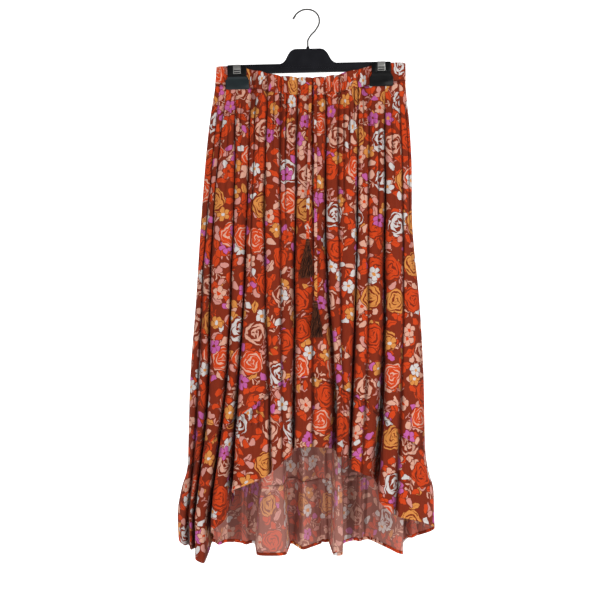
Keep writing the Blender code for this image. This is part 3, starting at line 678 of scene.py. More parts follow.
tasselValues = {
    "seed": {"left": 81, "right": 91},
    "headTop": (3.1, 2.6),  # half widths of the bound head at its top and at its foot
    "headFoot": (5.0, 4.2),
    "headTall": 15.0,
    "headSwell": 0.16,
    "headCap": (0.45, 0.12),  # how far the top is drawn in, and the share of the head that is
    "headRings": 16,
    "headSides": 40,
    "groove": 0.07,
    "windings": 8,
    "bindingFrom": 4.5,  # mm below the top
    "bindingPitch": 0.95,
    "bindingIn": (0.86, 0.93),  # how far it draws the head in, and where its thread lies
    "bindingHalf": 0.5,
    "bindingRise": 0.3,
    "bindingPoints": 25,
    "bindingSides": 6,
    "strands": 104,
    "strandHalf": 0.72,
    "strandFlat": 0.8,
    "strandRings": 13,
    "strandSides": 4,
    "rootAngle": 2.39996,  # radians from one strand to the next: the golden angle spreads them evenly
    "rootIn": 0.86,
    "rootUp": 1.5,  # mm that the strands reach up into the head
    "footHalf": (16.4, 5.4),
    "footStray": 0.9,
    "opening": 0.8,
    "shorter": 0.075,  # share of its length that a strand may lack
    "lean": {"left": -4.0, "right": 2.0},
    "leanPower": 1.5,
    "drop": {"left": 84.0, "right": 78.0},
    "narrowing": {"left": 1.0, "right": 0.86},
    "crimp": 1.3,
    "crimpDeep": 0.6,  # share of the crimp from front to back
    "crimpPace": (5.0, 8.5),
    "crimpFull": 4,
    "tipFrom": 0.97,
    "clearBelowTie": 0.3,
}


def tasselHead(top, values):
    # the bound head and the thread that is wound round it
    topX, topY, topZ = top
    rings, sides = values["headRings"], values["headSides"]
    levels = np.linspace(0, 1, rings)
    capIn, capTall = values["headCap"]
    drawnIn = capIn * np.maximum(0, 1 - levels / capTall) ** 2
    swell = 1 + values["headSwell"] * np.sin(math.pi * levels) - drawnIn
    halfX, halfY = ((above + (below - above) * levels) * swell
                    for above, below in zip(values["headTop"], values["headFoot"]))
    down = levels * values["headTall"]
    bindingFoot = values["bindingFrom"] + values["windings"] * values["bindingPitch"]
    binding = (down > values["bindingFrom"] - 1) & (down < bindingFoot)
    headIn, threadIn = values["bindingIn"]
    pinch = np.where(binding, headIn, 1.0)
    middle = np.stack([np.full(rings, topX), np.full(rings, topY), topZ - down], axis=1)
    head = ringsAlong(middle, (1, 0, 0), halfX * pinch, halfY * pinch, sides)
    grooved = 1 + values["groove"] * np.cos(math.pi * np.arange(sides))
    tubes = [middle[:, None] + (head - middle[:, None]) * grooved[None, :, None]]
    around = np.linspace(0, 2 * math.pi, values["bindingPoints"])
    half = values["bindingHalf"]
    for k in range(values["windings"]):
        level = (values["bindingFrom"] + k * values["bindingPitch"]) / values["headTall"]
        wide = np.interp(level, levels, halfX) * threadIn
        deep = np.interp(level, levels, halfY) * threadIn
        height = topZ - level * values["headTall"] + values["bindingRise"] * np.sin(around)
        ring = np.stack([topX + wide * np.cos(around), topY + deep * np.sin(around), height], axis=1)
        tubes.append(ringsAlong(ring, (0, 0, 1), half, half, values["bindingSides"]))
    return tubes


def tasselStrands(side, top, values):
    # crimped strands that open from the head to a flat, slightly leaning foot
    source = np.random.default_rng(values["seed"][side])
    topX, topY, topZ = top
    footHalf, headFoot = np.array(values["footHalf"]), np.array(values["headFoot"])
    long, up = values["drop"][side] - values["headTall"], values["rootUp"]
    t = np.linspace(0, 1, values["strandRings"])
    opened = t ** values["opening"]
    crimp = values["crimp"] * np.minimum(1, t * values["crimpFull"])
    half = values["strandHalf"] * np.where(t > values["tipFrom"], 0.5, 1.0)
    tubes = []
    for k in range(values["strands"]):
        angle = k * values["rootAngle"]
        out = math.sqrt((k + 0.5) / values["strands"])
        spread = out * np.array([math.cos(angle), math.sin(angle)])
        foot = spread * footHalf * values["narrowing"][side]
        foot += source.normal(0, values["footStray"], 2)
        foot = np.clip(foot, -footHalf, footHalf)
        root = spread * headFoot * values["rootIn"]
        end = long * (1 - values["shorter"] * source.random())
        phase, beat = source.uniform(0, unevenValues["turn"]), source.uniform(*values["crimpPace"])
        x = topX + root[0] + (foot[0] - root[0]) * opened + crimp * np.sin(beat * 2 * t + phase)
        x += values["lean"][side] * t ** values["leanPower"]
        sway = values["crimpDeep"] * crimp * np.cos(beat * 2 * t + phase)
        y = topY + root[1] + (foot[1] - root[1]) * opened + sway
        z = topZ - values["headTall"] + up - (end + up) * t
        spine = np.stack([x, y, z], axis=1)
        tubes.append(ringsAlong(spine, (1, 0, 0), half, half * values["strandFlat"], values["strandSides"]))
    return tubes


def addTassel(side, foot, values):
    # it starts a little below the foot of its tie
    top = (foot[0], foot[1], foot[2] - values["clearBelowTie"])
    tubes = tasselHead(top, values) + tasselStrands(side, top, values)
    mesh = tubesMesh("tassel" + side.title(), [rings * mm for rings in tubes])
    return addPiece("tassel" + side.title(), mesh, (yarn,), ("tassel_" + side,))


def addExitRing(side, values):
    # the thread-bound slit that a tie comes out of
    x, y, z = tieRoutes[side][1]
    long, tall, half = values["exitRing"]
    around = np.linspace(0, 2 * math.pi, values["exitPoints"])
    beads = half * (1 + values["exitBulge"] * np.cos(values["exitStitches"] * around))
    deep = np.full(len(around), y + values["exitSunk"])
    ring = np.stack([x + long * np.cos(around), deep, z + tall * np.sin(around)], axis=1)
    tube = ringsAlong(ring, (0, 1, 0), beads, beads, values["exitSides"])
    addPiece("tieSlit" + side.title(), tubesMesh("slit" + side.title(), [tube * mm]), (thread,))


for side in tieRoutes:
    tie, line, long = addTie(side, tieValues)
    tassel = addTassel(side, line[-1], tasselValues)
    addExitRing(side, tieValues)
print("ties and tassels ready")


# The skirt's form, in mm. Front and back are two layers of a flattened tube.

Ring = namedtuple("Ring", "height left right front back")
rings = [
    Ring(-120, -198, 216, 12, 12),
    Ring(-170, -202, 217, 13, 13),
    Ring(-240, -213, 224, 21, 19),
    Ring(-335, -223, 230, 29, 26),
    Ring(-480, -234, 232, 38, 35),
    Ring(-640, -244, 247, 48, 45),
    Ring(-800, -256, 256, 57, 56),
    Ring(-970, -261, 260, 66, 66),
    Ring(-1010, -263, 266, 70, 71),
    Ring(-1050, -275, 277, 74, 77),
    Ring(-1105, -284, 279, 78, 83),
    Ring(-1200, -279, 283, 82, 90),
]

# Folds down the cloth, left to right from the front: place and depth at waist, thigh, knee and
# hem, then half mouth, half floor and lean at the hem, and the hem's height on both its sides
foldLevels = (-170, -500, -850, -1100)
Fold = namedtuple("Fold", "across inward mouth floor lean hemLeft hemRight")
frontFolds = [
    Fold((-191, -222, -238, -257), (4, 9, 13, 20), 5, 2.0, 0, -1167, -1169),
    Fold((-177, -207, -217, -243), (4, 13, 24, 40), 5, 2.0, 3, -1172, -1190),
    Fold((-157, -160, -179, -211), (5, 14, 26, 60), 6, 2.5, 5, -1197, -1129),
    Fold((-124, -132, -151, -171), (6, 16, 28, 54), 6, 2.5, 8, -1101, -1041),
    Fold((-88, -93, -84, -76), (6, 11, 8, 14), 5, 2.0, 3, -1009, -1005),
    Fold((-58, -58, -54, -51), (5, 4, 3, 5), 4, 1.5, 0, -985, -979),
    Fold((-20, -26, -30, -31), (7, 16, 22, 28), 6, 2.0, 2, -966, -950),
    Fold((12, 13, 12, 10), (4, 5, 4, 4), 4, 1.5, 0, -949, -949),
    Fold((40, 38, 54, 48), (7, 18, 22, 26), 12, 3.0, 8, -950, -970),
    Fold((68, 68, 76, 69), (5, 5, 3, 2), 3, 1.5, 0, -969, -970),
    Fold((111, 107, 95, 84), (6, 18, 26, 38), 6, 2.0, 5, -972, -995),
    Fold((135, 132, 125, 104), (4, 6, 4, 4), 4, 1.5, 0, -1002, -1006),
    Fold((171, 166, 158, 136), (6, 20, 28, 56), 13, 3.0, 12, -1010, -1062),
    Fold((201, 209, 201, 186), (4, 7, 8, 12), 5, 2.0, 3, -1092, -1096),
]
backFolds = [
    Fold((-168, -176, -188, -199), (5, 12, 14, 20), 8, 2.0, 0, -1194, -1196),
    Fold((-112, -118, -125, -138), (6, 10, 12, 10), 6, 2.0, 0, -1200, -1200),
    Fold((-66, -70, -74, -78), (7, 16, 30, 82), 34, 27.0, 0, -1201, -1201),
    Fold((-20, -14, -6, 3), (5, 12, 18, 44), 27, 2.0, -10, -1202, -1202),
    Fold((24, 30, 38, 43), (5, 8, 8, 8), 6, 2.0, 0, -1197, -1197),
    Fold((62, 66, 68, 70), (7, 16, 32, 86), 13, 8.0, 0, -1202, -1202),
    Fold((104, 112, 118, 122), (5, 9, 12, 12), 6, 2.0, 0, -1193, -1193),
    Fold((148, 160, 172, 181), (6, 18, 32, 72), 30, 6.0, 24, -1191, -1205),
    Fold((192, 204, 216, 238), (5, 8, 10, 12), 6, 2.0, 0, -1180, -1174),
]
folds = {"front": frontFolds, "back": backFolds}

# Creases between the folds: the lobe they lie on, counted from the left, and the place across
# it; where they start below the waistband and how long they are; half width and depth
Crease = namedtuple("Crease", "lobe across start long half deep")
creases = {
    "front": [
        Crease(2, 0.50, 10, 420, 1.9, 2.6),
        Crease(3, 0.38, 0, 300, 1.6, 2.8),
        Crease(3, 0.74, 60, 520, 2.0, 2.0),
        Crease(4, 0.30, 0, 640, 2.1, 3.4),
        Crease(4, 0.60, 20, 230, 1.5, 2.4),
        Crease(4, 0.82, 120, 480, 2.2, 2.0),
        Crease(5, 0.50, 0, 260, 1.7, 2.8),
        Crease(6, 0.34, 0, 480, 1.9, 3.2),
        Crease(6, 0.70, 10, 180, 1.5, 2.6),
        Crease(7, 0.30, 0, 150, 1.6, 2.2),
        Crease(8, 0.68, 0, 320, 1.8, 2.8),
        Crease(9, 0.45, 0, 200, 1.6, 2.4),
        Crease(10, 0.28, 0, 430, 2.0, 3.4),
        Crease(10, 0.58, 30, 240, 1.6, 2.6),
        Crease(10, 0.82, 0, 150, 1.4, 2.2),
        Crease(11, 0.50, 0, 350, 1.8, 2.8),
        Crease(12, 0.30, 0, 210, 1.6, 2.6),
        Crease(12, 0.64, 40, 560, 2.2, 3.0),
        Crease(13, 0.46, 0, 380, 2.0, 3.0),
        Crease(13, 0.76, 200, 420, 2.2, 2.0),
        Crease(14, 0.42, 30, 500, 2.2, 2.2),
    ],
    "back": [
        Crease(0, 0.60, 10, 380, 2.0, 2.2),
        Crease(1, 0.30, 0, 520, 2.2, 3.0),
        Crease(1, 0.62, 0, 260, 1.8, 2.6),
        Crease(2, 0.34, 20, 340, 2.0, 2.8),
        Crease(2, 0.70, 0, 560, 2.2, 2.4),
        Crease(3, 0.40, 0, 290, 1.8, 3.0),
        Crease(3, 0.74, 90, 460, 2.2, 2.2),
        Crease(4, 0.32, 0, 220, 1.7, 2.6),
        Crease(4, 0.66, 0, 410, 2.0, 3.0),
        Crease(5, 0.50, 0, 320, 1.8, 2.6),
        Crease(6, 0.36, 20, 500, 2.2, 2.8),
        Crease(6, 0.72, 0, 200, 1.6, 2.6),
        Crease(7, 0.30, 0, 360, 2.0, 3.0),
        Crease(7, 0.64, 60, 540, 2.2, 2.4),
        Crease(8, 0.36, 0, 280, 1.8, 2.6),
        Crease(8, 0.70, 0, 470, 2.0, 2.8),
        Crease(9, 0.40, 20, 330, 2.0, 2.2),
    ],
}

form = {
    "bandHeight": 40,
    "hemAtSides": (-1160, -1141),
    "seamAtSides": (-1020, -985),
    "seamMiddle": {"front": -800, "back": -1055},
    "archPower": {"front": 1.6, "back": 3.0},
    "waistLeft": (-198, -126),
    "waistRight": (216, -117),
    "waistSag": 31,
    "sagCentre": 4,
    "sagReach": 150,
    "tilt": math.radians(1.3),  # of the hanger
    "clipPlaces": (-160, 160),
    "clipReach": 47,
    "barBottom": -137,
    "barEnd": 175,
    "padTop": -145,
    "padBottom": -172.5,
    "gripPower": 10,  # how sharply a clip's hold ends beside it
    "freeBelow": 90,
    "besideBar": 6.3,
    "barClear": 2,
    "betweenPads": 2.2,
    "roundPower": 4,  # the higher, the flatter the skirt between its side seams
    "sidePinch": 3,
    "layerGap": 2.2,
    "edgeGap": 0.03,  # mm from the side seam's line to each layer's edge
    "swell": 0.17,
    "mostSwell": 6.0,
    "foldSeed": 700,
    "wander": (1.6, 95),  # mm, how far a fold strays from its smooth line, and over what length
    "mouthVaries": (0.35, 70),  # how unevenly wide a narrow fold is, and over what length
    "waistMouth": 1.3,  # half a fold's mouth and half its floor at the waist
    "waistFloor": 1.0,
    "opening": 1.75,  # how late a fold opens on its way down
    "narrowMouth": 0.95,  # folds with mouths under wideMouth close to this part of them
    "wideMouth": 8,
    "levelsAcross": (-240, -500, -850, -1100),  # where stretches are measured to share out columns
    "softening": 3.0,  # how far corners are rounded, in columns
    "hemSoftening": 5.0,
    "calmPlace": (12, 20),  # where the ties lie, and half the width that is kept calm under them
    "calmDown": (-660, 40),
}


def ringValue(name, z):
    # one of the rings' measures at any height
    return curveThrough([row.height for row in rings], [getattr(row, name) for row in rings], z)


def shareAcross(x, z):
    # -1 at the left side seam, 1 at the right one
    left, right = ringValue("left", z), ringValue("right", z)
    return np.clip((2 * x - left - right) / (right - left), -1, 1)


def onHanger(x, z):
    # the same place in the hanger's own upright frame
    cos, sin = math.cos(form["tilt"]), math.sin(form["tilt"])
    return x * cos + z * sin, z * cos - x * sin


def gripped(x):
    # 1 under a clip, 0 away from both
    nearest = np.minimum(abs(x - form["clipPlaces"][0]), abs(x - form["clipPlaces"][1]))
    return np.exp(-((nearest / form["clipReach"]) ** form["gripPower"]))


def freedom(x, z):
    # 0 where the clips press, 1 where the cloth hangs freely
    hangerX, hangerZ = onHanger(x, z)
    return 1 - gripped(hangerX) * (1 - ease((form["padBottom"] - hangerZ) / form["freeBelow"]))


def standOut(layer, x, z):
    # how far the cloth between the folds lies from the hanging plane
    roundOff = np.sqrt(1 - shareAcross(x, z) ** form["roundPower"])
    free = ringValue(layer, z) * roundOff
    hangerZ = onHanger(x, z)[1]
    pressed = ease((form["barBottom"] - hangerZ) / (form["barBottom"] - form["padTop"]))
    clipped = form["besideBar"] + (form["betweenPads"] - form["besideBar"]) * pressed
    clipped = clipped * np.minimum(1, form["sidePinch"] * roundOff)
    return clipped + (free - clipped) * freedom(x, z)


def corner(knot, z):
    # a section's corner: where it lies across, and how far it goes in
    fold, side, deep = knot
    if fold is None:
        return ringValue("left" if side < 0 else "right", z), np.zeros_like(z)
    seed = form["foldSeed"] + fold.across[0]
    strays, strayLong = form["wander"]
    centre = curveThrough(foldLevels, fold.across, z) + strays * uneven(z / strayLong, seed)
    inward = curveThrough(foldLevels, fold.inward, z)
    grown = np.maximum(0, (foldLevels[0] - z) / (foldLevels[0] - foldLevels[-1])) ** form["opening"]
    if deep:
        floor = form["waistFloor"] + (fold.floor - form["waistFloor"]) * grown
        return centre + side * floor + fold.lean * inward / fold.inward[-1], inward
    narrow = fold.mouth < form["wideMouth"]
    hemMouth = fold.mouth * (form["narrowMouth"] if narrow else 1)
    mouth = form["waistMouth"] + (hemMouth - form["waistMouth"]) * grown
    if narrow:
        varies, varyLong = form["mouthVaries"]
        mouth = mouth * (1 + varies * uneven(z / varyLong, seed + 1))
    return centre + side * mouth, np.zeros_like(z)


# Edges of the pieces: the height of each at a corner of the section

def waistAt(layer, knot):
    x = float(corner(knot, np.array(foldLevels[0], float))[0])
    left, right = form["waistLeft"], form["waistRight"]
    edge = left[1] + (right[1] - left[1]) * (x - left[0]) / (right[0] - left[0])
    return edge - form["waistSag"] * max(0, 1 - ((x - form["sagCentre"]) / form["sagReach"]) ** 2)


def bandFootAt(layer, knot):
    return waistAt(layer, knot) - form["bandHeight"]


def seamAt(layer, knot):
    knee = np.array(foldLevels[2], float)
    share = float(shareAcross(corner(knot, knee)[0], knee))
    middle, side = form["seamMiddle"][layer], form["seamAtSides"][0 if share < 0 else 1]
    return middle + (side - middle) * abs(share) ** form["archPower"][layer]


def hemAt(layer, knot):
    fold, side, deep = knot
    if fold is None:
        return form["hemAtSides"][0 if side < 0 else 1]
    third = (fold.hemRight - fold.hemLeft) / 3
    if deep:
        return fold.hemLeft + third if side < 0 else fold.hemRight - third
    return fold.hemLeft if side < 0 else fold.hemRight


def knotsOf(layer):
    # all corners of a layer's section, left to right: two at the mouth and two at the floor of
    # each fold, and one at each side seam
    corners = ((-1, 0), (-1, 1), (1, 1), (1, 0))
    inner = [(fold, side, deep) for fold in folds[layer] for side, deep in corners]
    return [(None, -1, 0)] + inner + [(None, 1, 0)]


def stretchKind(start, stop):
    if start[0] is None or stop[0] is None:
        return "turn"
    if start[0] is not stop[0]:
        return "lobe"
    return "floor" if start[2] and stop[2] else "wall"


Column = namedtuple("Column", "stretch kind t start stop long")


columnValues = {
    "stretches": 4,  # from one lobe to the next: the lobe, a wall, the floor and a wall
    "leastFloor": 2,  # columns over a fold's floor and over any other stretch
    "least": 4,
    "creaseSpots": (-1.9, -1.0, -0.45, 0, 0.45, 1.0, 1.9),  # half widths from a crease's middle
    "creaseClear": 2.3,  # half widths kept free of other columns
}


def columnsOf(layer, values):
    # every column of a layer, left to right. They crowd at the lips of folds and at creases.
    knots = knotsOf(layer)
    levels = np.array(form["levelsAcross"], float)
    columns = []
    for number, (start, stop) in enumerate(zip(knots, knots[1:])):
        kind = stretchKind(start, stop)
        (startX, startIn), (stopX, stopIn) = corner(start, levels), corner(stop, levels)
        lengths = np.hypot(stopX - startX, stopIn - startIn)
        if kind == "turn":
            lengths = lengths + standOut(layer, stopX if start[0] is None else startX, levels)
        long = float(lengths[0])  # creases keep their width where they start, by the waistband
        least = columnValues["leastFloor" if kind == "floor" else "least"]
        count = max(least, round(float(lengths.max()) / values["spacing"]))
        steps = np.arange(count) / count
        if kind in ("lobe", "wall"):
            steps = steps - values["crowding"] * np.sin(2 * math.pi * steps) / (2 * math.pi)
        steps = list(steps)
        lobe = number // columnValues["stretches"]
        lobeCreases = [c for c in creases[layer] if kind in ("lobe", "turn") and c.lobe == lobe]
        for crease in lobeCreases if values["creased"] else ():
            reach = crease.half / long
            clear = columnValues["creaseClear"] * reach
            steps = [t for t in steps if t == 0 or abs(t - crease.across) > clear]
            spots = [crease.across + offset * reach for offset in columnValues["creaseSpots"]]
            steps += [t for t in spots if 0 < t < 1]
        if number == len(knots) - 2:
            steps.append(1.0)
        columns += [Column(number, kind, t, start, stop, long) for t in sorted(steps)]
    return columns


def clothGrid(layer, values, topOf, bottomOf, bend=()):
    # Points of the middle of the cloth, rows down and columns across. Rows above the top edge are
    # the seam allowance, tucked in behind the piece above. bend holds (share, hanger height)
    # pairs: the heights that the clips press a row to.
    columns = columnsOf(layer, values)
    shares = np.linspace(0, 1, values["rows"]) ** values["rowPower"]
    lead = np.array(values["allowance"], float).reshape(-1, 2)
    rows, across = len(lead) + len(shares), len(columns)
    x, y, z = (np.zeros((rows, across)) for _ in range(3))
    edges = []
    for edge in (topOf, bottomOf):
        line = np.array([[edge(layer, c.start) * (1 - c.t) + edge(layer, c.stop) * c.t for c in columns]])
        edges.append(softened(line, form["hemSoftening" if edge is hemAt else "softening"])[0])
    tops, bottoms = edges
    for i, column in enumerate(columns):
        t, start, stop = column.t, column.start, column.stop
        top, bottom = tops[i], bottoms[i] + values["seamGap"]
        first = top - values["firstRow"]
        here = np.concatenate([top + lead[:, 0], first + (bottom - first) * shares])
        spread = t  # at the sides the columns crowd towards the seam
        if column.kind == "turn":
            spread = t * t if start[0] is None else 1 - (1 - t) ** 2
        if bend:
            shifts = [0.0]
            for share, level in bend:
                height = first + (bottom - first) * share
                spot = corner(start, height)[0] * (1 - spread) + corner(stop, height)[0] * spread
                hangerX, hangerZ = onHanger(spot, height)
                shifts.append(float((level - hangerZ) * gripped(hangerX)))
            knees = [0, *[share for share, level in bend], 1]
            here += np.interp((first - here) / (first - bottom), knees, [*shifts, 0.0])
        startX, startIn = corner(start, here)
        stopX, stopIn = corner(stop, here)
        x[:, i] = startX + (stopX - startX) * spread
        z[:, i] = here
        outward = standOut(layer, x[:, i], here)
        inward = startIn + (stopIn - startIn) * t
        swell = np.minimum(form["swell"] * (stopX - startX), form["mostSwell"]) * (1 - abs(2 * t - 1) ** 3)
        inward = inward + {"lobe": -swell, "floor": swell}.get(column.kind, 0)
        inward = np.minimum(inward * freedom(x[:, i], here), np.maximum(outward - form["layerGap"], 0))
        y[:, i] = outward - inward
    y[:, 0] = y[:, -1] = values["sideGap"]
    x, y = softened(x), softened(y)
    if len(lead):
        y[:len(lead)] -= lead[:, 1:]
    grid = {"layer": layer, "x": x, "y": y, "z": z, "columns": columns, "lead": len(lead)}
    addCreases(grid, values)
    addGathers(grid, values)
    hangerX, hangerZ = onHanger(x, z)
    nearBar = (abs(hangerX) < form["barEnd"]) & (hangerZ > form["barBottom"] - form["barClear"])
    besideBar = form["besideBar"] + form["barClear"] * freedom(x, z)
    y = np.where(nearBar, np.maximum(grid["y"], besideBar), grid["y"])
    grid["y"] = np.maximum(y, values["sideGap"])
    grid["y"][:, [0, -1]] = form["edgeGap"]
    return grid


def softened(values, spread=form["softening"]):
    # rounds the section's corners: a bell-shaped average along the columns, ends held
    reach = int(3 * spread)
    weights = np.exp(-0.5 * (np.arange(-reach, reach + 1) / spread) ** 2)
    weights /= weights.sum()
    first, last = values[:, :1], values[:, -1:]
    padded = np.hstack([2 * first - values[:, reach:0:-1], values, 2 * last - values[:, -2:-reach - 2:-1]])
    return np.stack([np.convolve(row, weights, mode="valid") for row in padded])


def calmed(x, z):
    # 0 under the ties, 1 away from them
    centre, half = form["calmPlace"]
    beside = 1 - np.exp(-(((x - centre) / half) ** 4))
    level, over = form["calmDown"]
    return np.maximum(beside, ease((level - z) / over))


creaseValues = {
    "ridge": (0.3, 2.2, 0.8),  # height, place and half width of the ridges, in depths and half widths
    "fadeIn": 0.08,  # shares of a crease's length
    "fadeOut": (0.35, 0.65),
}


def addCreases(grid, values):
    # narrow troughs with a low ridge on each side, each fading in and out along its length
    if not values["creased"]:
        return
    x, z = grid["x"], grid["z"]
    down = z[grid["lead"]] - z
    ridgeTall, ridgePlace, ridgeHalf = creaseValues["ridge"]
    fadeFrom, fadeLong = creaseValues["fadeOut"]
    for crease in creases[grid["layer"]]:
        stretch = columnValues["stretches"] * crease.lobe
        columns = [i for i, c in enumerate(grid["columns"]) if c.stretch == stretch]
        offset = np.array([(grid["columns"][i].t - crease.across) * grid["columns"][i].long for i in columns])
        offset = offset / crease.half
        shape = np.exp(-offset ** 2) - ridgeTall * np.exp(-((abs(offset) - ridgePlace) / ridgeHalf) ** 2)
        share = (down[:, columns] - crease.start) / crease.long
        begun = ease(share / creaseValues["fadeIn"] + (1 if crease.start == 0 else 0))
        along = begun * (1 - ease((share - fadeFrom) / fadeLong))
        strength = along * freedom(x[:, columns], z[:, columns])
        grid["y"][:, columns] -= crease.deep * shape * strength * calmed(x[:, columns], z[:, columns])


gatherValues = {
    "fanHalf": 207,  # half the width that numbers the gathers, so that they widen with the skirt
    "stray": (0.9, 40),  # waves that a gather strays, and the mm it takes
    "strength": (0.65, 0.35, 11),  # the least, what chance adds, and over how many mm
    "fadeVaries": (0.5, 15),
    "leastFade": 8,
    "topFrom": -4,  # mm below the edge: where the gathers are still at their least
    "second": 0.35,  # share of the wave twice as fast that makes the troughs narrow
    "soft": (26, 110),  # mm across and down for the soft unevenness
    "softFull": 60,
    "sides": 6,
}


def addGathers(grid, values):
    # gathers that hang from the upper edge and die out unevenly, and soft unevenness all over
    x, z, seed = grid["x"], grid["z"], values["seed"][grid["layer"]]
    down = z[grid["lead"]] - z
    fan = shareAcross(x, z) * gatherValues["fanHalf"]
    strays, strayLong = gatherValues["stray"]
    phase = fan / values["gatherWave"] + strays * uneven(fan / strayLong, seed)
    least, chance, chanceLong = gatherValues["strength"]
    strength = least + chance * uneven(fan / chanceLong, seed + 1)
    varies, varyLong = gatherValues["fadeVaries"]
    fade = values["gatherFade"] * (1 + varies * uneven(fan / varyLong, seed + 2))
    reach = np.maximum(fade, gatherValues["leastFade"])
    levels = [gatherValues["topFrom"], values["gatherFrom"], values["gatherFull"]]
    onset = np.interp(down, levels, [values["gatherLeast"], values["gatherLeast"], 1])
    turn = 2 * math.pi * phase
    folded = np.sin(turn) - gatherValues["second"] * np.cos(2 * turn)
    gathers = values["gatherSize"] * strength * folded
    gathers *= np.exp(-np.maximum(down, 0) / reach) * onset
    softAcross, softDown = gatherValues["soft"]
    bulges = unevenPlane(fan / softAcross, z / softDown, seed + 3)
    soft = values["softSize"] * bulges * ease(down / gatherValues["softFull"])
    side = np.minimum(1, gatherValues["sides"] * (1 - abs(shareAcross(x, z))))
    grid["y"] = grid["y"] + (gathers + soft) * freedom(x, z) * side * calmed(x, z)


# How the painted shade of folds, creases and seams is worked out
shadeValues = {
    "hollows": ((10, 3.2), (3.5, 1.5)),  # painted shade in hollows: columns that an average takes in, and mm below it when darkest
    "blur": 0.16,  # of the hollows, as a part of those columns
    "beyond": 3.4,  # mm, how far a fold's shade goes past its mouth
    "beyondVaries": (0.6, 75),  # by chance, and over how many mm
    "beyondDeep": (12, 0.35, 1.2),  # the fold's depth for all of it, and its least and most share
    "stray": (1.4, 120),
    "least": 0.35,
    "full": 22,  # mm: the depth of a fold that adds full darkness
    "chance": (0.82, 0.3, 100),
    "edgePower": 2.5,
    "faintest": 0.1,
}


def paintedShadesOf(grid, values):
    # painted shade: 1 at the bottom of a fold or crease seen from outside, -1 where it is a hollow from
    # inside
    shades = []
    for reach, depth in shadeValues["hollows"]:
        below = np.clip((softened(grid["y"], reach) - grid["y"]) / depth, -1, 1)
        shades.append(softened(below, shadeValues["blur"] * reach))
    paintedShade = np.where(abs(shades[0]) > abs(shades[1]), *shades)
    shaded = foldShades(grid) * values["foldShade"]
    paintedShade = np.where(shaded > shadeValues["faintest"], np.maximum(paintedShade, shaded), paintedShade)
    # painted shade along the seams, where the seam's groove is shaded
    for edge, reach, shade in values["seams"]:
        line = grid["z"][-1] if edge == "foot" else grid["z"][grid["lead"]]
        paintedShade = paintedShade + shade * np.exp(-((grid["z"] - line) / reach) ** 2)
    return np.clip(paintedShade, -1, 1)


def foldShades(grid):
    # the soft shade over a fold's mouth and a little beyond it, uneven in width down the cloth
    x, z = grid["x"], grid["z"]
    shade = np.zeros_like(x)
    varies, varyLong = shadeValues["beyondVaries"]
    deepFull, leastBeyond, mostBeyond = shadeValues["beyondDeep"]
    strays, strayLong = shadeValues["stray"]
    base, chance, chanceLong = shadeValues["chance"]
    for fold in folds[grid["layer"]]:
        seed = form["foldSeed"] + fold.across[0]
        left, right = (corner((fold, side, 0), z)[0] for side in (-1, 1))
        inward = curveThrough(foldLevels, fold.inward, z)
        beyond = shadeValues["beyond"] * (1 + varies * uneven(z / varyLong, seed + 2))
        beyond = beyond * np.clip(inward / deepFull, leastBeyond, mostBeyond)
        centre = (left + right) / 2 + strays * uneven(z / strayLong, seed + 3)
        depth = np.clip(shadeValues["least"] + inward / shadeValues["full"], 0, 1)
        depth = depth * (base + chance * uneven(z / chanceLong, seed + 4))
        offset = abs((x - centre) / ((right - left) / 2 + beyond))
        shade = np.maximum(shade, depth * np.exp(-offset ** shadeValues["edgePower"]))
    return shade


def sectionLength(grid):
    # arc length along each row, from its left end
    steps = np.hypot(np.diff(grid["x"], axis=1), np.diff(grid["y"], axis=1))
    return np.hstack([np.zeros((len(steps), 1)), np.cumsum(steps, axis=1)])


def flatAcross(grid, squeeze):
    # Where each point lies across the flat cloth. The middle of each lobe keeps its thread all
    # the way down, and what is left over lies unseen on the floors of the folds.
    length = sectionLength(grid)
    stretch = np.array([column.stretch for column in grid["columns"]])
    lobes = sorted({column.stretch for column in grid["columns"] if column.kind in ("lobe", "turn")})
    ranges = [np.flatnonzero(stretch == k) for k in lobes]
    anchors = [int(cols[len(cols) // 2]) for cols in ranges]
    anchors[0], anchors[-1] = int(ranges[0][0]), int(ranges[-1][-1])
    flat = np.zeros_like(length)
    place, spare = 0.0, 1.02  # a little more cloth than is measured between the middles of lobes
    for n, (anchor, cols) in enumerate(zip(anchors, ranges)):
        if n:
            place += float((length[:, anchor] - length[:, anchors[n - 1]]).max()) * spare
        flat[:, cols] = place + (length[:, cols] - length[:, anchor:anchor + 1]) * squeeze
        if n:
            before, after = ranges[n - 1][-1], cols[0]
            middle = (before + after + 1) // 2
            fromLeft = flat[:, before:before + 1] + (length - length[:, before:before + 1]) * squeeze
            fromRight = flat[:, after:after + 1] + (length - length[:, after:after + 1]) * squeeze
            flat[:, before:middle] = fromLeft[:, before:middle]
            flat[:, middle:after] = fromRight[:, middle:after]
    return flat


def surfaceOf(grid):
    # the grid's points in metres, and the way out of the skirt at each
    sign = -1 if grid["layer"] == "front" else 1
    points = np.stack([grid["x"], sign * grid["y"], grid["z"]], axis=2) * mm
    normals = np.cross(np.gradient(points, axis=1), np.gradient(points, axis=0)) * sign
    tiny = 1e-12  # keeps flat spots from a division by nothing
    return points, normals / np.maximum(np.linalg.norm(normals, axis=2, keepdims=True), tiny)


def gridMesh(name, points, flat, facesFront):
    rows, across = points.shape[:2]
    index = np.arange(rows * across).reshape(rows, across)
    a, b, c, d = index[:-1, :-1], index[:-1, 1:], index[1:, 1:], index[1:, :-1]
    order = (d, c, b, a) if facesFront else (a, b, c, d)
    mesh = meshFrom(name, points.reshape(-1, 3), np.stack(order, axis=2).reshape(-1, 4))
    setMap(mesh, flat.reshape(-1, 2) * mm)
    return mesh


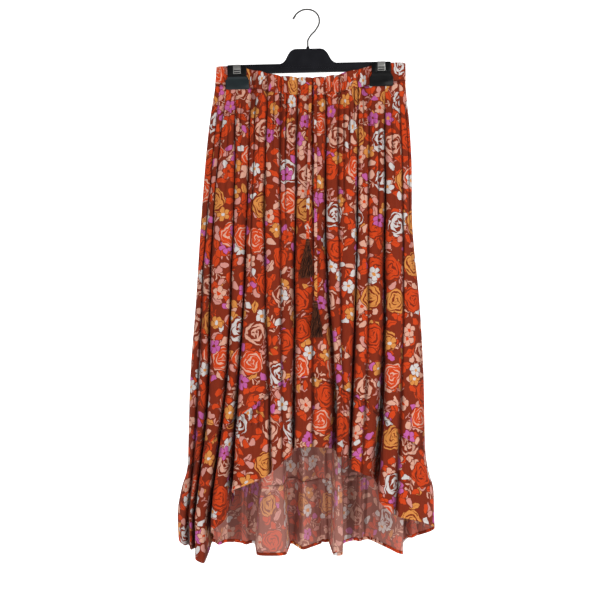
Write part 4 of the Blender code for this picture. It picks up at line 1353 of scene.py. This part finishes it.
def addCloth(name, grid, values, replaces):
    # two skins: the right side out, the wrong side in
    points = surfaceOf(grid)[0]
    flat = np.stack([grid["flat"], grid["z"]], axis=2)
    piece = addPiece(name, gridMesh(name, points, flat, grid["layer"] == "front"), (rightSide, wrongSide),
                     replaces)
    # painted shade for the cloth's material: how deep in a fold or how near a seam each point lies
    paintedShade = piece.data.attributes.new("paintedShade", "FLOAT", "POINT")
    paintedShade.data.foreach_set("value", paintedShadesOf(grid, values).ravel())
    skin = piece.modifiers.new("wall", "SOLIDIFY")
    skin.thickness = values["wall"] * mm
    skin.offset = 0
    skin.material_offset = 1
    skin.material_offset_rim = 0
    return piece


def lineOn(grid, fromTop=None, fromFoot=None):
    # points that keep their distance from the upper or the lower edge, in metres, and the way out
    points, normals = surfaceOf(grid)
    top = grid["z"][grid["lead"]]
    target = top - fromTop if fromTop is not None else grid["z"][-1] + fromFoot
    across = grid["z"].shape[1]
    at = np.array([np.interp(-target[i], -grid["z"][:, i], np.arange(len(grid["z"]))) for i in range(across)])
    low = np.minimum(at.astype(int), len(grid["z"]) - 2)
    share = (at - low)[:, None]
    index = np.arange(across)
    mix = [field[low, index] * (1 - share) + field[low + 1, index] * share for field in (points, normals)]
    return mix[0], mix[1] / np.linalg.norm(mix[1], axis=1, keepdims=True)


# Sewing: stitches that stand a little proud of the cloth

stitchValues = {
    "long": 2.2,
    "pitch": 3.0,
    "half": 0.22,
    "lift": 0.12,
    # shares of its length, lift and thickness at the points of a stitch
    "spine": ((-0.5, -0.5, 0.5), (-0.25, 1.0, 1.0), (0.25, 1.0, 1.0), (0.5, -0.5, 0.5)),
    "sides": 4,
    "casing": 2.5,  # mm above the waistband's foot
    "seam": 2.5,  # below the flounce's seam
    "hem": 6.0,  # above the hem
    "turnedHem": 7.0,  # how far the hem is turned up inside
    "turnedRows": 4,
    "turnedGap": 0.15,
    "turnedWall": 0.3,
    "turnedPrint": 31,  # mm that its print is shifted by
}


def stitchTubes(line, normals, values, lift):
    # a short, arched thread for each stitch; its ends dip into the cloth
    steps = np.linalg.norm(np.diff(line, axis=0), axis=1)
    down = np.concatenate([[0], np.cumsum(steps)])
    along, up, thick = np.array(values["spine"]).T
    arch = up * values["lift"] * mm
    half = values["half"] * thick * mm
    tubes = []
    for centre in np.arange(values["pitch"], down[-1] / mm - values["pitch"], values["pitch"]) * mm:
        spots = centre + along * values["long"] * mm
        spine = np.stack([np.interp(spots, down, line[:, k]) for k in range(3)], axis=1)
        out = np.array([np.interp(centre, down, normals[:, k]) for k in range(3)])
        out /= np.linalg.norm(out)
        spine += out * (lift * mm + arch[:, None])
        tubes.append(ringsAlong(spine, out, half, half, values["sides"]))
    return tubes


def addStitches(name, grid, lift, fromTop=None, fromFoot=None, inside=False):
    line, normals = lineOn(grid, fromTop, fromFoot)
    tubes = stitchTubes(line, normals, stitchValues, lift)
    if inside:
        tubes += stitchTubes(line, -normals, stitchValues, lift)
    return addPiece(name, tubesMesh(name, tubes), (thread,))


def addTurnedHem(name, grid, wall):
    # the strip turned up inside the hem, its right side towards the body
    strip, flat = [], []
    across = grid["flat"][-1] + stitchValues["turnedPrint"]
    for level in np.linspace(0, stitchValues["turnedHem"], stitchValues["turnedRows"])[::-1]:
        line, out = lineOn(grid, fromFoot=level)
        strip.append(line - out * (wall + stitchValues["turnedGap"]) * mm)
        flat.append(np.stack([across, np.full(len(line), level)], axis=1))
    mesh = gridMesh(name, np.stack(strip), np.stack(flat), grid["layer"] != "front")
    piece = addPiece(name, mesh, (rightSide,))
    skin = piece.modifiers.new("wall", "SOLIDIFY")
    skin.thickness = stitchValues["turnedWall"] * mm
    skin.offset = 0
    return piece


# Waistband, panels and flounces

bandValues = {
    "rows": 26,
    "rowPower": 1.0,
    "firstRow": 0,
    "allowance": (),
    "spacing": 1.7,
    "crowding": 0.4,
    "creased": False,
    "wall": 2.0,
    "sideGap": 0.95,
    "seamGap": 0.4,
    "gatherSize": 2.3,
    "gatherWave": 7.6,
    "gatherFade": 400,
    "gatherFrom": 5,
    "gatherFull": 24,
    "gatherLeast": 0.3,
    "softSize": 0.4,
    "seams": (("foot", 2.2, 0.8),),  # which edge, how far its painted shade reaches in mm, how dark it is
    # foldShade: how strongly the painted shade of the folds is drawn on this piece
    "foldShade": 0.3,
    "seed": {"front": 3, "back": 13},
    "cutFrom": {"front": 0, "back": 1730},  # mm across the print where the piece was cut
    "barRow": 0.33,  # shares of the way down that the bar's foot and the pads' tops press
    "padRow": 0.52,
    "fullness": 1.7,  # the cloth that the elastic gathers, as a part of the band's length
}
panelValues = {
    "rows": 68,
    "rowPower": 1.35,
    "firstRow": 2.0,
    "allowance": ((6, 1.4), (1.2, 1.4), (-0.6, 0.5)),  # mm above the edge, and how far tucked in
    "spacing": 2.45,
    "crowding": 0.3,
    "creased": True,
    "wall": 0.6,
    "sideGap": 0.26,
    "seamGap": 0.3,
    "topFullness": (0.4, 60),  # how much more of the print the gathers hold at the top, and its fade
    "gatherSize": 2.4,
    "gatherWave": 12.5,
    "gatherFade": 75,
    "gatherFrom": 0,
    "gatherFull": 8,
    "gatherLeast": 0.5,
    "softSize": 2.2,
    "seams": (("top", 2.0, 0.7), ("foot", 2.0, 0.4)),
    "foldShade": 0.8,
    "seed": {"front": 3, "back": 13},
    "cutFrom": {"front": 0, "back": 1340},
}
flounceValues = {
    "rows": 38,
    "rowPower": 1.2,
    "firstRow": 2.0,
    "allowance": ((8, 0.9), (1.2, 0.9), (-0.6, 0.3)),
    "spacing": 2.2,
    "crowding": 0.4,
    "creased": False,
    "wall": 0.6,
    "sideGap": 0.26,
    "seamGap": 0,
    "gatherSize": 3.4,
    "gatherWave": 11.5,
    "gatherFade": 62,
    "gatherFrom": 0,
    "gatherFull": 6,
    "gatherLeast": 0.2,
    "softSize": 2.4,
    "seams": (("top", 2.6, 0.9),),
    "foldShade": 0.85,
    "seed": {"front": 23, "back": 33},
    "cutFrom": {"front": 260, "back": 2170},
}


def addBand(layer, values):
    bend = ((values["barRow"], form["barBottom"]), (values["padRow"], form["padTop"]))
    grid = clothGrid(layer, values, waistAt, bandFootAt, bend)
    grid["flat"] = flatAcross(grid, 1.0) * values["fullness"] + values["cutFrom"][layer]
    piece = addCloth("waistbandCloth" + layer.title(), grid, values, ("waistband_" + layer,))
    seam = addStitches("casingStitches" + layer.title(), grid, values["wall"] / 2,
                       fromFoot=stitchValues["casing"])


def addPanel(layer, values):
    grid = clothGrid(layer, values, bandFootAt, seamAt)
    down = grid["z"][0].mean() - grid["z"].mean(axis=1, keepdims=True)
    fullness, fade = values["topFullness"]
    grid["flat"] = flatAcross(grid, 1 + fullness * np.exp(-down / fade)) + values["cutFrom"][layer]
    piece = addCloth("panelCloth" + layer.title(), grid, values, (layer + "_panel",))


def addFlounce(layer, values):
    grid = clothGrid(layer, values, seamAt, hemAt)
    grid["flat"] = flatAcross(grid, 1.0) + values["cutFrom"][layer]
    piece = addCloth("flounceCloth" + layer.title(), grid, values, (layer + "_ruffle",))
    lift = values["wall"] / 2
    hem = addTurnedHem("turnedHem" + layer.title(), grid, values["wall"])
    hemSeam = addStitches("hemStitches" + layer.title(), grid, lift, fromFoot=stitchValues["hem"])
    seam = addStitches("flounceStitches" + layer.title(), grid, lift, fromTop=stitchValues["seam"],
                       inside=True)


for layer in ("front", "back"):
    addBand(layer, bandValues)
    addPanel(layer, panelValues)
    addFlounce(layer, flounceValues)
    print("cloth ready:", layer)


# Hanger, in mm in its own upright frame, then leant by its tilt

hangerValues = {
    "halfLength": 172,
    "halfDepth": 4.5,
    "barTop": -118,
    "barBottom": -137.5,
    "shoulder": ((27, -86), (31.2, -86.7), (35, -88.4), (38.2, -90.8), (40.9, -93.6), (43.1, -96.8),
                 (44.9, -100), (46.5, -103.2), (48.2, -106.4), (50.1, -109.6), (52.3, -112.5), (55, -115),
                 (58.4, -116.9), (62, -118)),
    "endRadius": 3,
    "endAngles": (0, 30, 60, 90),
    "rim": 2.6,  # the raised edge round the sunk face
    "rimSlope": (0.5, 0.3),  # how much further in the sunk face begins, at its edge and at its wall
    "sunk": 0.45,
    "edge": 1.2,
    "collar": ((1.9, -80.0), (2.6, -80.3), (2.9, -81.0), (3.6, -84.5), (4.0, -86.0), (4.0, -89.0)),
    "collarSides": 32,
    "wire": 1.75,
    "hookTip": 1.3,  # the rounded end, thicker than the wire
    "hook": ((-31, -19), (-20.2, -5.4), (0, 1.2), (20, -7), (26.5, -25), (19, -43), (5.5, -58), (0, -70),
             (0, -87.7)),
    "hookSteps": 20,
    "hookSides": 5,
}
clipValues = {
    "places": {"left": -156.5, "right": 159.5},
    "top": -120.6,
    "leverHalf": 21.0,
    "leverFace": 10.5,
    "leverFaceFrom": -118,
    "leverInside": 8.0,
    "leverInsideFoot": -140.5,
    "leverFoot": -145.0,
    "leverRadius": 3.0,
    "leverBelowPad": 2,  # how far the lever's own outline goes below the top of the pad
    "hornInner": 8.9,
    "hornFace": 12.6,
    "hornFoot": -143.5,
    "hornRadius": 2.6,
    "hornEdge": ((0.0, 1.3), (0.4, 0.4), (1.3, 0.0)),  # inset, and mm behind the horn's face
    "hornRoot": 0.5,
    "padHalf": 26.0,
    "padNeck": 21.0,
    "padShoulder": (0.8, 0.2, 1),  # across, up to its foot and up to its top
    "padTop": -145.5,
    "padBottom": -172.5,
    "padInside": 3.5,
    "padInsideTop": -146.5,
    "padFace": 6.4,
    "padSlope": 1.3,
    "padSlopeFrom": 5.5,
    "padChamfer": 3.0,
    "padChamferSteps": 3,
    "padMaterialFrom": 0.5,
    "edges": ((0.9, 0.0), (0.25, 0.12), (0, 0.35), (0, 0.65), (0.25, 0.88), (0.9, 1.0)),  # inset, depth
    "cuts": (-125, -133, -140.5, -145, -146.5, -151, -158, -165),  # heights where the faces may bend
    "springHalf": 8.2,
    "springThick": 0.8,
    "springTop": -119.8,
    "springFoot": -140.0,
    "springClear": 0.3,
    "springSteps": (0, 1.6, 3.8, 6.6, 8.8, 12.2),  # up from its foot: the slots' ends are among them
    "springSlots": (1, 3),
    "springColumns": (-1.0, -0.84, -0.45, 0.0, 0.45, 0.84, 1.0),
    "springSlotted": (1, 4),  # first and last column that the slots open
    "springBend": 1.9,
    "springBendFrom": 0.35,
    "springBendSteps": 5,
    "springEdge": 0.22,
    "springSharp": 60,
}


def leant(data):
    data.transform(Matrix.Rotation(-form["tilt"], 4, "Y"))
    return data


leastTurn = 0.4  # keeps an inset corner near its outline where it turns sharply
weld = 1e-7  # metres, between points that count as one where a solid is cut


def insetOutline(outline, distance):
    # the closed outline moved in by a distance; it runs clockwise seen from the front
    points = np.asarray(outline, float)
    ahead = np.roll(points, -1, axis=0) - points
    ahead /= np.linalg.norm(ahead, axis=1, keepdims=True)
    normal = np.stack([ahead[:, 1], -ahead[:, 0]], axis=1)
    both = normal + np.roll(normal, 1, axis=0)
    both /= np.maximum((both * both).sum(axis=1, keepdims=True) / 2, leastTurn)
    return points + both * distance


def layeredSolid(shape, outline, layers, place=0):
    # a solid through copies of an outline: (inset, depth) pairs from its front to its back
    loops = []
    for inset, depth in layers:
        spots = insetOutline(outline, inset) if inset else np.asarray(outline, float)
        loops.append([shape.verts.new(((x + place) * mm, depth * mm, z * mm)) for x, z in spots])
    bridgeLoops(shape, loops)


def bridgeLoops(shape, loops):
    # walls between loops of points that follow each other, and a cap at each end
    shape.faces.new(loops[0])
    shape.faces.new(list(reversed(loops[-1])))
    for upper, lower in zip(loops, loops[1:]):
        for i in range(len(upper)):
            k = (i + 1) % len(upper)
            shape.faces.new((upper[i], lower[i], lower[k], upper[k]))


def roundedBox(left, right, low, high, radius, steps=5):
    # clockwise outline with rounded corners
    spots = []
    for centreX, centreZ, first in ((right - radius, high - radius, 90), (right - radius, low + radius, 0),
                                    (left + radius, low + radius, -90), (left + radius, high - radius, -180)):
        for i in range(steps + 1):
            a = math.radians(first - 90 * i / steps)
            spots.append((centreX + radius * math.cos(a), centreZ + radius * math.sin(a)))
    return spots


def finishShape(name, shape, sharp=32):
    bmesh.ops.recalc_face_normals(shape, faces=shape.faces)
    mesh = bpy.data.meshes.new(name)
    shape.to_mesh(mesh)
    shape.free()
    mesh.polygons.foreach_set("use_smooth", [True] * len(mesh.polygons))
    mesh.set_sharp_from_angle(angle=math.radians(sharp))
    return leant(mesh)


def mouldedPlastic(name, dark, light, specular):
    # injection-moulded polystyrene from a spark-eroded mould: near black, a satin skin with a
    # grain of 0.7 mm, coarser than the real one so that it shows, and flow marks of 26 mm
    made, tree, shader = newMaterial(name, IOR=1.59, Specular_IOR_Level=specular)
    place = addNode(tree, "TexCoord", out="Object")
    grain = addNode(tree, "TexNoise", {"Vector": place, "Scale": 1400.0, "Detail": 2.0})
    flow = addNode(tree, "TexNoise", {"Vector": place, "Scale": 38.0, "Detail": 3.0})
    shades = {0: flow, 6: colourOf(dark), 7: colourOf(light)}
    colour = addNode(tree, "Mix", shades, out=2, data_type="RGBA")
    tree.links.new(colour, shader.inputs["Base Color"])
    glosses = {"Value": flow, "From Min": 0.3, "From Max": 0.7, "To Min": 0.34, "To Max": 0.5}
    gloss = addNode(tree, "MapRange", glosses)
    tree.links.new(gloss, shader.inputs["Roughness"])
    skin = addNode(tree, "Bump", {"Height": grain, "Strength": 0.2, "Distance": 0.0001})
    tree.links.new(skin, shader.inputs["Normal"])
    return made


def platedSteel(name, dark, light, roughness, scuffed):
    # bright-drawn steel with a thin nickel plate: metallic, a grey with fine scuffs; scuffed gives
    # how many there are to a metre each way
    made, tree, shader = newMaterial(name, Metallic=1.0, Roughness=roughness)
    place = addNode(tree, "TexCoord", out="Object")
    streak = addNode(tree, "VectorMath", [place, scuffed], operation="MULTIPLY")
    scuffs = addNode(tree, "TexNoise", {"Vector": streak, "Scale": 1.0, "Detail": 3.0})
    shades = {0: scuffs, 6: colourOf(dark), 7: colourOf(light)}
    colour = addNode(tree, "Mix", shades, out=2, data_type="RGBA")
    tree.links.new(colour, shader.inputs["Base Color"])
    skin = addNode(tree, "Bump", {"Height": scuffs, "Strength": 0.12, "Distance": 0.0001})
    tree.links.new(skin, shader.inputs["Normal"])
    return made


barPlastic = mouldedPlastic("moulded black polystyrene, bar", "#05050a", "#0d0d16", 0.18)
clipPlastic = mouldedPlastic("moulded black polystyrene, clips", "#040405", "#0b0b0d", 0.12)
# painted sheen: the left pad alone is tinted blue-grey, with paler patches, for the teal sheen on its face
leftPadSheen = mouldedPlastic("moulded black polystyrene, left pad with painted sheen", "#081014", "#18262a", 0.2)
hookSteel = platedSteel("drawn steel wire, dull plate", "#2b2a29", "#605e5a", 0.38, (500, 500, 500))
springSteel = platedSteel("bent spring steel, bright plate", "#8f8e8a", "#c9c8c4", 0.3, (200, 900, 900))


def addBar(values):
    turn = math.radians(45)
    end, radius = values["halfLength"], values["endRadius"]
    angles = [math.radians(a) for a in values["endAngles"]]
    top, bottom = values["barTop"], values["barBottom"]
    tip = [(end - radius + radius * math.sin(a), top - radius + radius * math.cos(a)) for a in angles]
    foot = [(end - radius + radius * math.cos(a), bottom + radius - radius * math.sin(a)) for a in angles]
    right = list(values["shoulder"]) + tip + foot
    outline = right + [(-x, z) for x, z in reversed(right)]
    deep, edge, rim, sunk = values["halfDepth"], values["edge"], values["rim"], values["sunk"]
    half = [(rim + further, deep - sunk) for further in values["rimSlope"]] + [(rim, deep), (edge, deep)]
    half += [(edge * (1 - math.sin(turn)), deep - edge * (1 - math.cos(turn))), (0, deep - edge)]
    layers = [(inset, -depth) for inset, depth in half] + [(inset, depth) for inset, depth in reversed(half)]
    shape = bmesh.new()
    layeredSolid(shape, outline, layers)
    sides = values["collarSides"]
    around = [2 * math.pi * i / sides for i in range(sides)]
    loops = [[shape.verts.new((r * math.cos(a) * mm, r * math.sin(a) * mm, z * mm)) for a in around]
             for r, z in values["collar"]]
    bridgeLoops(shape, loops)
    addPiece("hangerBar", finishShape("hangerBar", shape), (barPlastic,), ("hanger_bar",))


def addHook(values):
    data = bpy.data.curves.new("hook", "CURVE")
    data.dimensions = "3D"
    spline = data.splines.new("BEZIER")
    route = values["hook"]
    spline.bezier_points.add(len(route) - 1)
    for target, (x, z) in zip(spline.bezier_points, route):
        target.co = (x * mm, 0, z * mm)
        target.handle_left_type = target.handle_right_type = "AUTO"
    for target in spline.bezier_points[-2:]:
        target.handle_left_type = target.handle_right_type = "VECTOR"
    spline.bezier_points[-2].handle_left_type = "ALIGNED"
    spline.bezier_points[0].radius = values["hookTip"]
    data.resolution_u = values["hookSteps"]
    data.bevel_depth = values["wire"] * mm
    data.bevel_resolution = values["hookSides"]
    data.use_fill_caps = True
    addPiece("hangerHook", leant(data), (hookSteel,), ("hanger_hook",))


def jawDepth(z, values):
    # how far the jaw's inner and outer face lie from the hanging plane at a height
    levels = (values["leverFaceFrom"], values["leverFoot"], values["padTop"] - values["padSlopeFrom"],
              values["padBottom"])
    faces = [values["leverFace"], values["leverFace"], values["padFace"] + values["padSlope"],
             values["padFace"]]
    outer = np.interp(-z, [-level for level in levels], faces)
    inner = np.interp(-z, [-values["leverInsideFoot"], -values["padInsideTop"]],
                      [values["leverInside"], values["padInside"]])
    return inner, outer


def padOutline(values):
    # a neck that widens to the pad, whose corners are cut off
    neck, half, top = values["padNeck"], values["padHalf"], values["padTop"]
    across, low, high = values["padShoulder"]
    right = [(neck, top + high), (neck + across, top + low)]
    shoulder = [(-x, z) for x, z in reversed(right)] + right
    box = roundedBox(-half, half, values["padBottom"], top - (half - neck), values["padChamfer"],
                     values["padChamferSteps"])
    return shoulder + box[1:]


def addJaw(side, face, values):
    # a lever and its pad, bent to the jaw's own depths, with two horns that stand off the lever
    place, leverHalf = values["places"][side], values["leverHalf"]
    shape = bmesh.new()
    layers = values["edges"]
    leverTop, leverFoot = values["top"] - layers[0][0], values["padTop"] - values["leverBelowPad"]
    lever = roundedBox(-leverHalf, leverHalf, leverFoot, leverTop, values["leverRadius"])
    for outline in (lever, padOutline(values)):
        part = bmesh.new()
        layeredSolid(part, outline, [(inset, depth / mm) for inset, depth in layers], place)
        for level in values["cuts"]:
            geometry = list(part.verts) + list(part.edges) + list(part.faces)
            bmesh.ops.bisect_plane(part, geom=geometry, plane_co=(0, 0, level * mm), plane_no=(0, 0, 1),
                                   dist=weld)
        for vertex in part.verts:
            inner, outer = jawDepth(vertex.co.z / mm, values)
            vertex.co.y = face * (inner + (outer - inner) * vertex.co.y) * mm
        scratch = bpy.data.meshes.new("part")
        part.to_mesh(scratch)
        part.free()
        shape.from_mesh(scratch)
        bpy.data.meshes.remove(scratch)
    horn = [(0, values["leverInside"] + values["hornRoot"])]
    horn += [(inset, values["hornFace"] - behind) for inset, behind in values["hornEdge"]]
    for low, high in ((-leverHalf, -values["hornInner"]), (values["hornInner"], leverHalf)):
        outline = roundedBox(low, high, values["hornFoot"], values["top"], values["hornRadius"])
        layeredSolid(shape, outline, [(inset, face * depth) for inset, depth in horn], place)
    facing = "front" if face < 0 else "back"
    name = "clip" + side.title() + facing.title()
    mesh = finishShape(name, shape)
    # the left pad takes the painted sheen, the right one the plain black
    addPiece(name, mesh, (clipPlastic, leftPadSheen if side == "left" else clipPlastic),
             ("clip_" + side + "_jaw_" + facing,))
    lean = math.tan(form["tilt"])
    for polygon in mesh.polygons:
        upright = polygon.center.z / mm - polygon.center.x / mm * lean
        if upright < values["padTop"] - values["padMaterialFrom"]:
            polygon.material_index = 1


def addSpring(side, values):
    # a strip bent over the bar, with two slots in each leg that leave three bright bars
    place, half = values["places"][side], values["springHalf"]
    top, foot, thick = values["springTop"], values["springFoot"], values["springThick"]
    face, radius = values["leverFace"] + values["springClear"] + thick / 2, values["springBend"]
    leg = [(face, foot + up) for up in values["springSteps"]] + [(face, top - radius)]
    angles = np.linspace(values["springBendFrom"], math.pi / 2, values["springBendSteps"])
    bend = [(face - radius + radius * math.cos(a), top - radius + radius * math.sin(a)) for a in angles]
    run = [(-u, v) for u, v in leg] + [(-u, v) for u, v in bend] + [(u, v) for u, v in reversed(bend)]
    run += [(u, v) for u, v in reversed(leg)]
    across = np.array(values["springColumns"]) * half
    shape = bmesh.new()
    rows = [[shape.verts.new(((place + x) * mm, u * mm, v * mm)) for x in across] for u, v in run]
    first, last = values["springSlotted"]
    for i in range(len(rows) - 1):
        slotted = min(i, len(rows) - 2 - i) in values["springSlots"]
        for k in range(len(across) - 1):
            if slotted and first <= k <= last:
                continue
            shape.faces.new((rows[i][k], rows[i + 1][k], rows[i + 1][k + 1], rows[i][k + 1]))
    mesh = finishShape("spring", shape, values["springSharp"])
    piece = addPiece("clipSpring" + side.title(), mesh, (springSteel,), ("clip_" + side + "_spring",))
    skin = piece.modifiers.new("wall", "SOLIDIFY")
    skin.thickness = thick * mm
    skin.offset = 0
    edge = piece.modifiers.new("edge", "BEVEL")
    edge.width = values["springEdge"] * mm
    edge.segments = 2
    edge.limit_method = "ANGLE"


addBar(hangerValues)
addHook(hangerValues)
for side in clipValues["places"]:
    addSpring(side, clipValues)
    for face in (-1, 1):
        addJaw(side, face, clipValues)
print("hanger ready")


# Studio: white sweep and soft light

studioValues = {
    "floorHeight": -1.62,
    "wallDistance": 2.6,
    "wallBend": 0.9,
    "halfWidth": 7.0,
    "front": -12.0,
    "wallHeight": 5.0,
    "bendSteps": 17,
    "glow": 0.78,
    "sky": 0.28,
    "lights": (
        ("key light", (1.5, -2.0, 0.1), 1.2, 27),
        ("fill light", (-1.3, -2.2, -0.9), 2.0, 12),
    ),
    "aim": (0, 0, -0.65),
}


def addStudio(values):
    made, tree, shader = newMaterial("matt white paper", Roughness=0.9, Emission_Strength=values["glow"],
                                     Emission_Color=(1, 1, 1, 1))
    fibres = addNode(tree, "TexNoise", {"Scale": 60.0, "Detail": 3.0})
    shades = {0: fibres, 6: colourOf("#efefef"), 7: colourOf("#f6f6f6")}
    white = addNode(tree, "Mix", shades, out=2, data_type="RGBA")
    tree.links.new(white, shader.inputs["Base Color"])
    bend, wall, half = values["wallBend"], values["wallDistance"], values["halfWidth"]
    angles = np.linspace(0, math.pi / 2, values["bendSteps"])
    profile = [(values["front"], 0.0)]
    profile += [(wall - bend + bend * math.sin(a), bend - bend * math.cos(a)) for a in angles]
    profile += [(wall, values["wallHeight"])]
    points = [(x, y, values["floorHeight"] + z) for x in (-half, half) for y, z in profile]
    count = len(profile)
    faces = [(k, count + k, count + k + 1, k + 1) for k in range(count - 1)]
    sweep = bpy.data.objects.new("sweep", meshFrom("sweep", points, faces))
    sweep.data.materials.append(made)
    scene.collection.objects.link(sweep)
    world = bpy.data.worlds.new("studio")
    world.use_nodes = True
    sky = world.node_tree.nodes["Background"]
    sky.inputs[0].default_value = (1, 1, 1, 1)
    sky.inputs[1].default_value = values["sky"]
    scene.world = world
    for name, place, size, energy in values["lights"]:
        data = bpy.data.lights.new(name, "AREA")
        data.size = size
        data.energy = energy
        lamp = bpy.data.objects.new(name, data)
        scene.collection.objects.link(lamp)
        lamp.location = place
        lamp.rotation_euler = (Vector(values["aim"]) - Vector(place)).to_track_quat("-Z", "Y").to_euler()


addStudio(studioValues)
print("studio ready")
